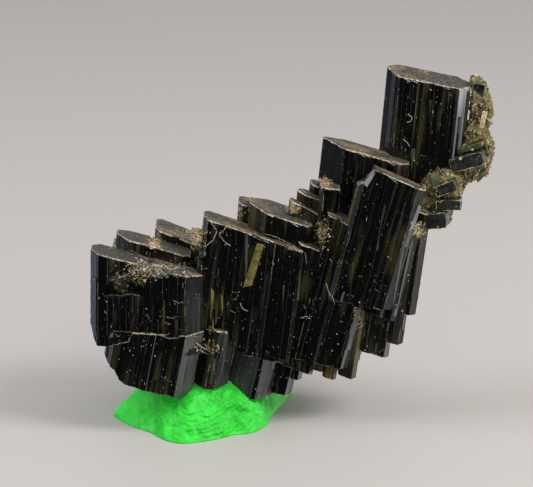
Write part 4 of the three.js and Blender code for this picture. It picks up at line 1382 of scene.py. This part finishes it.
print("crust made", len(crustObject.data.vertices), len(crustObject.data.polygons))

# the putty
putty = {
    "topCentre": (-8.2, -0.2), "height": 5.8, "lower": 0.124, "roundness": 1.9, "drawnIn": 0.86,
    "rings": 90, "sides": 420, "swell": 0.16, "foldsRound": 60, "foldsUp": 13, "foldPace": (0.75, 0.9),
    "kneaded": [(0.55, 0.24), (1.4, 0.22), (3.2, 0.10)],  # lumps per millimetre and their height
    "footFade": 0.5,
}
# the pressed marks of a fingertip: arcs round a centre in x and z, within a patch at the front
fingerMarks = {
    "centre": (-9.8, 9.5), "spacing": 0.45, "deep": 0.17, "wobble": 0.25, "wobbleOften": 0.8,
    "patchX": -7.4, "patchWide": 3.4, "patchTop": 3.9, "topFade": 0.8, "footFade": 0.25,
}
puttyDents = [
    {"at": (-8.9, -5.3, 3.6), "radius": 0.9, "deep": 0.55},
    {"at": (-9.5, -5.9, 2.6), "radius": 0.8, "deep": 0.45},
    {"at": (-14.6, -3.2, 2.6), "radius": 1.2, "deep": 0.4},
    {"at": (-5.4, -3.6, 1.9), "radius": 1.1, "deep": 0.4},
    {"at": (-6.3, -3.0, 5.0), "radius": 1.5, "deep": 1.2},
]
puttyEdge = [
    (-18.4, 0.9), (-17.7, -1.0), (-16.2, -2.9), (-14.4, -4.4), (-12.8, -6.4), (-10.8, -7.2), (-7.9, -6.2),
    (-5.9, -5.0), (-4.4, -4.6), (-3.2, -3.4), (-2.5, -1.9), (-2.4, -0.7), (-1.7, 1.4), (-0.9, 3.6),
    (-0.4, 5.2), (0.1, 6.7), (-2.6, 7.1), (-7.6, 7.1), (-12.2, 6.4), (-16.2, 4.4),
]


def smoothLoop(points, count, fine=40):
    # a closed curve through the points, with its samples evenly spaced
    dense = []
    n = len(points)
    for k in range(n):
        a, b, c, d = (Vector(points[(k + i) % n]) for i in (-1, 0, 1, 2))
        for s in range(fine):
            t = s / fine
            curve = (2 * b) + (c - a) * t + (2 * a - 5 * b + 4 * c - d) * t * t
            dense.append(0.5 * (curve + (3 * b - a - 3 * c + d) * t ** 3))
    lengths = [0.0]
    for a, b in zip(dense, dense[1:] + dense[:1]):
        lengths.append(lengths[-1] + (b - a).length)
    out, k = [], 0
    for s in range(count):
        want = lengths[-1] * s / count
        while lengths[k + 1] < want:
            k += 1
        t = (want - lengths[k]) / max(1e-9, lengths[k + 1] - lengths[k])
        out.append(dense[k].lerp(dense[(k + 1) % len(dense)], t))
    return out


def pressMarks(point):
    # how deep the fingertip's marks are at a point
    m = fingerMarks
    arc = Vector((point.x - m["centre"][0], point.z - m["centre"][1])).length
    wave = arc + m["wobble"] * noise.noise(point * m["wobbleOften"])
    groove = 0.5 + 0.5 * math.cos(2 * math.pi * wave / m["spacing"])
    press = math.exp(-((point.x - m["patchX"]) / m["patchWide"]) ** 2)
    press *= min(1.0, max(0.0, (m["patchTop"] - point.z) / m["topFade"]))
    press *= min(1.0, point.z / m["footFade"])
    return m["deep"] * groove * press if point.y < 0 else 0.0


edge = smoothLoop(puttyEdge, putty["sides"])
middle = Vector(putty["topCentre"])
rows = []
for r in range(putty["rings"] + 1):
    t = r / putty["rings"]
    row = []
    for k, p in enumerate(edge):
        flat = p.lerp(middle, t * putty["drawnIn"])
        z = (putty["height"] + putty["lower"] * p.y) * (1 - (1 - t) ** putty["roundness"])
        point = Vector((flat.x, flat.y, z if r else 0.0))
        outward = Vector((*(p - middle).normalized(), 0))
        paceRound, paceUp = putty["foldPace"]
        fold = k * putty["foldsRound"] / putty["sides"] * paceRound + t * putty["foldsUp"] * paceUp
        grow = putty["swell"] * math.sin(fold) * math.sin(math.pi * t)
        lumps = 0.0
        for often, size in putty["kneaded"]:
            lumps += noise.noise(point * often) * size
        grow += lumps * min(1.0, point.z / putty["footFade"]) - pressMarks(point)
        if r:
            point += outward * grow
            for dent in puttyDents:
                near = (point - Vector(dent["at"])).length / dent["radius"]
                point -= outward * dent["deep"] * math.exp(-near * near)
        row.append(tuple(point))
    rows.append(row)
puttyObject = toObject("puttyLump", loftMesh(rows, 0), [makePuttyMaterial()])
for face in puttyObject.data.polygons:
    face.use_smooth = True
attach(puttyObject, "root")
print("putty made", len(puttyObject.data.vertices))

# specks of dirt pressed into the putty
puttySpecks = {
    "at": [(163, 410), (234, 408), (273, 407), (180, 432), (215, 402), (150, 421), (247, 418), (205, 428)],
    "size": (0.05, 0.1), "flat": 0.6,
}
puttyTree, _ = surfaceOf(puttyObject)
rng = random.Random(71)
bm = emptyMesh()
for px, py in puttySpecks["at"]:
    place, normal = seen(px, py, puttyTree)
    if place is not None:
        addChip(bm, place, rng.uniform(*puttySpecks["size"]), rng, 0, normal, puttySpecks["flat"])
dirtMaterial = makeMarkMaterial("puttyDirt", (0.02, 0.025, 0.015), (0.10, 0.09, 0.06))
finishPiece("puttyDirt", bm, [dirtMaterial])

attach(crystalObject, "root")
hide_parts("aegirine_crystals")
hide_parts("matrix_crust")
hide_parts("putty")

# floor and light
floorShape = {
    "reach": 900, "bend": 260, "radius": 120, "high": 700, "colour": (0.54, 0.515, 0.50), "rough": 0.55,
}
floorMaterial, floorShader, _, _ = newMaterial("paleFloor")
floorShader.inputs["Base Color"].default_value = (*floorShape["colour"], 1)
floorShader.inputs["Roughness"].default_value = floorShape["rough"]
bm = bmesh.new()
reach, bend, radius = floorShape["reach"], floorShape["bend"], floorShape["radius"]
profile = [(-reach, 0), (bend, 0)]
for k in range(1, 13):
    angle = math.pi / 2 * k / 12
    profile.append((bend + radius * math.sin(angle), radius - radius * math.cos(angle)))
profile.append((bend + radius, floorShape["high"]))
rows = [[bm.verts.new((side * mm, y * mm, z * mm)) for y, z in profile] for side in (-reach, reach)]
for k in range(len(profile) - 1):
    bm.faces.new((rows[0][k], rows[1][k], rows[1][k + 1], rows[0][k + 1])).smooth = True
floor = toObject("floor", bm, [floorMaterial])
floor.visible_glossy = False

lights = {
    "upperRight": {"at": (190, -90, 230), "size": 130, "power": 0.55, "colour": (1.0, 0.97, 0.93)},
    "upperLeft": {"at": (-160, -40, 240), "size": 160, "power": 0.28, "colour": (0.93, 0.96, 1.0)},
}
lightsAim = Vector((0, 0, 15))
for name, light in lights.items():
    data = bpy.data.lights.new(name, "AREA")
    data.shape = "DISK"
    data.size = light["size"] * mm
    data.energy = light["power"]
    data.color = light["colour"]
    made = bpy.data.objects.new(name, data)
    made.location = Vector(light["at"]) * mm
    made.rotation_euler = (lightsAim - Vector(light["at"])).to_track_quat("-Z", "Y").to_euler()
    bpy.context.scene.collection.objects.link(made)

# what the glossy faces mirror: bright to the right, cool and dim to the left, dark in front
# each side: the axis, where its light starts and is full, and the brightness at both
mirror = {
    "sides": {"right": ("X", 0.35, 0.95, 0.0, 1.35), "left": ("X", -0.95, -0.35, 0.32, 0.0),
              "above": ("Z", 0.15, 0.8, 0.0, 0.6), "behind": ("Y", 0.1, 0.8, 0.0, 0.4)},
    "least": 0.008, "cool": (0.82, 0.92, 1.12), "warm": (1.0, 0.99, 0.97), "warmth": (-0.6, 0.6),
    "around": (0.62, 0.60, 0.58),  # what everything else is lit by
}
world = bpy.data.worlds.new("studio")
world.use_nodes = True
bpy.context.scene.world = world
node, link = nodeTools(world.node_tree)
direction = node("ShaderNodeTexCoord")
axes = node("ShaderNodeSeparateXYZ")
link(direction.outputs["Generated"], axes.inputs[0])
side = {name: ramp(node, link, axes.outputs[axis], *limits, "SMOOTHSTEP")
        for name, (axis, *limits) in mirror["sides"].items()}
leftAndRight = combine(node, link, "ADD", side["right"], side["left"])
behind = combine(node, link, "ADD", side["behind"], mirror["least"])
total = combine(node, link, "ADD", leftAndRight, combine(node, link, "ADD", side["above"], behind))
warmth = ramp(node, link, axes.outputs["X"], *mirror["warmth"], 0.0, 1.0, "SMOOTHSTEP")
mirrored = node("ShaderNodeVectorMath", operation="SCALE")
link(blendColours(node, link, warmth, mirror["cool"], mirror["warm"]), mirrored.inputs[0])
link(total, mirrored.inputs["Scale"])
rays = node("ShaderNodeLightPath")
chosen = blendColours(node, link, rays.outputs["Is Glossy Ray"], mirror["around"], mirrored.outputs[0])
background = world.node_tree.nodes["Background"]
link(chosen, background.inputs["Color"])
background.inputs["Strength"].default_value = 1.0
print("stage lit")
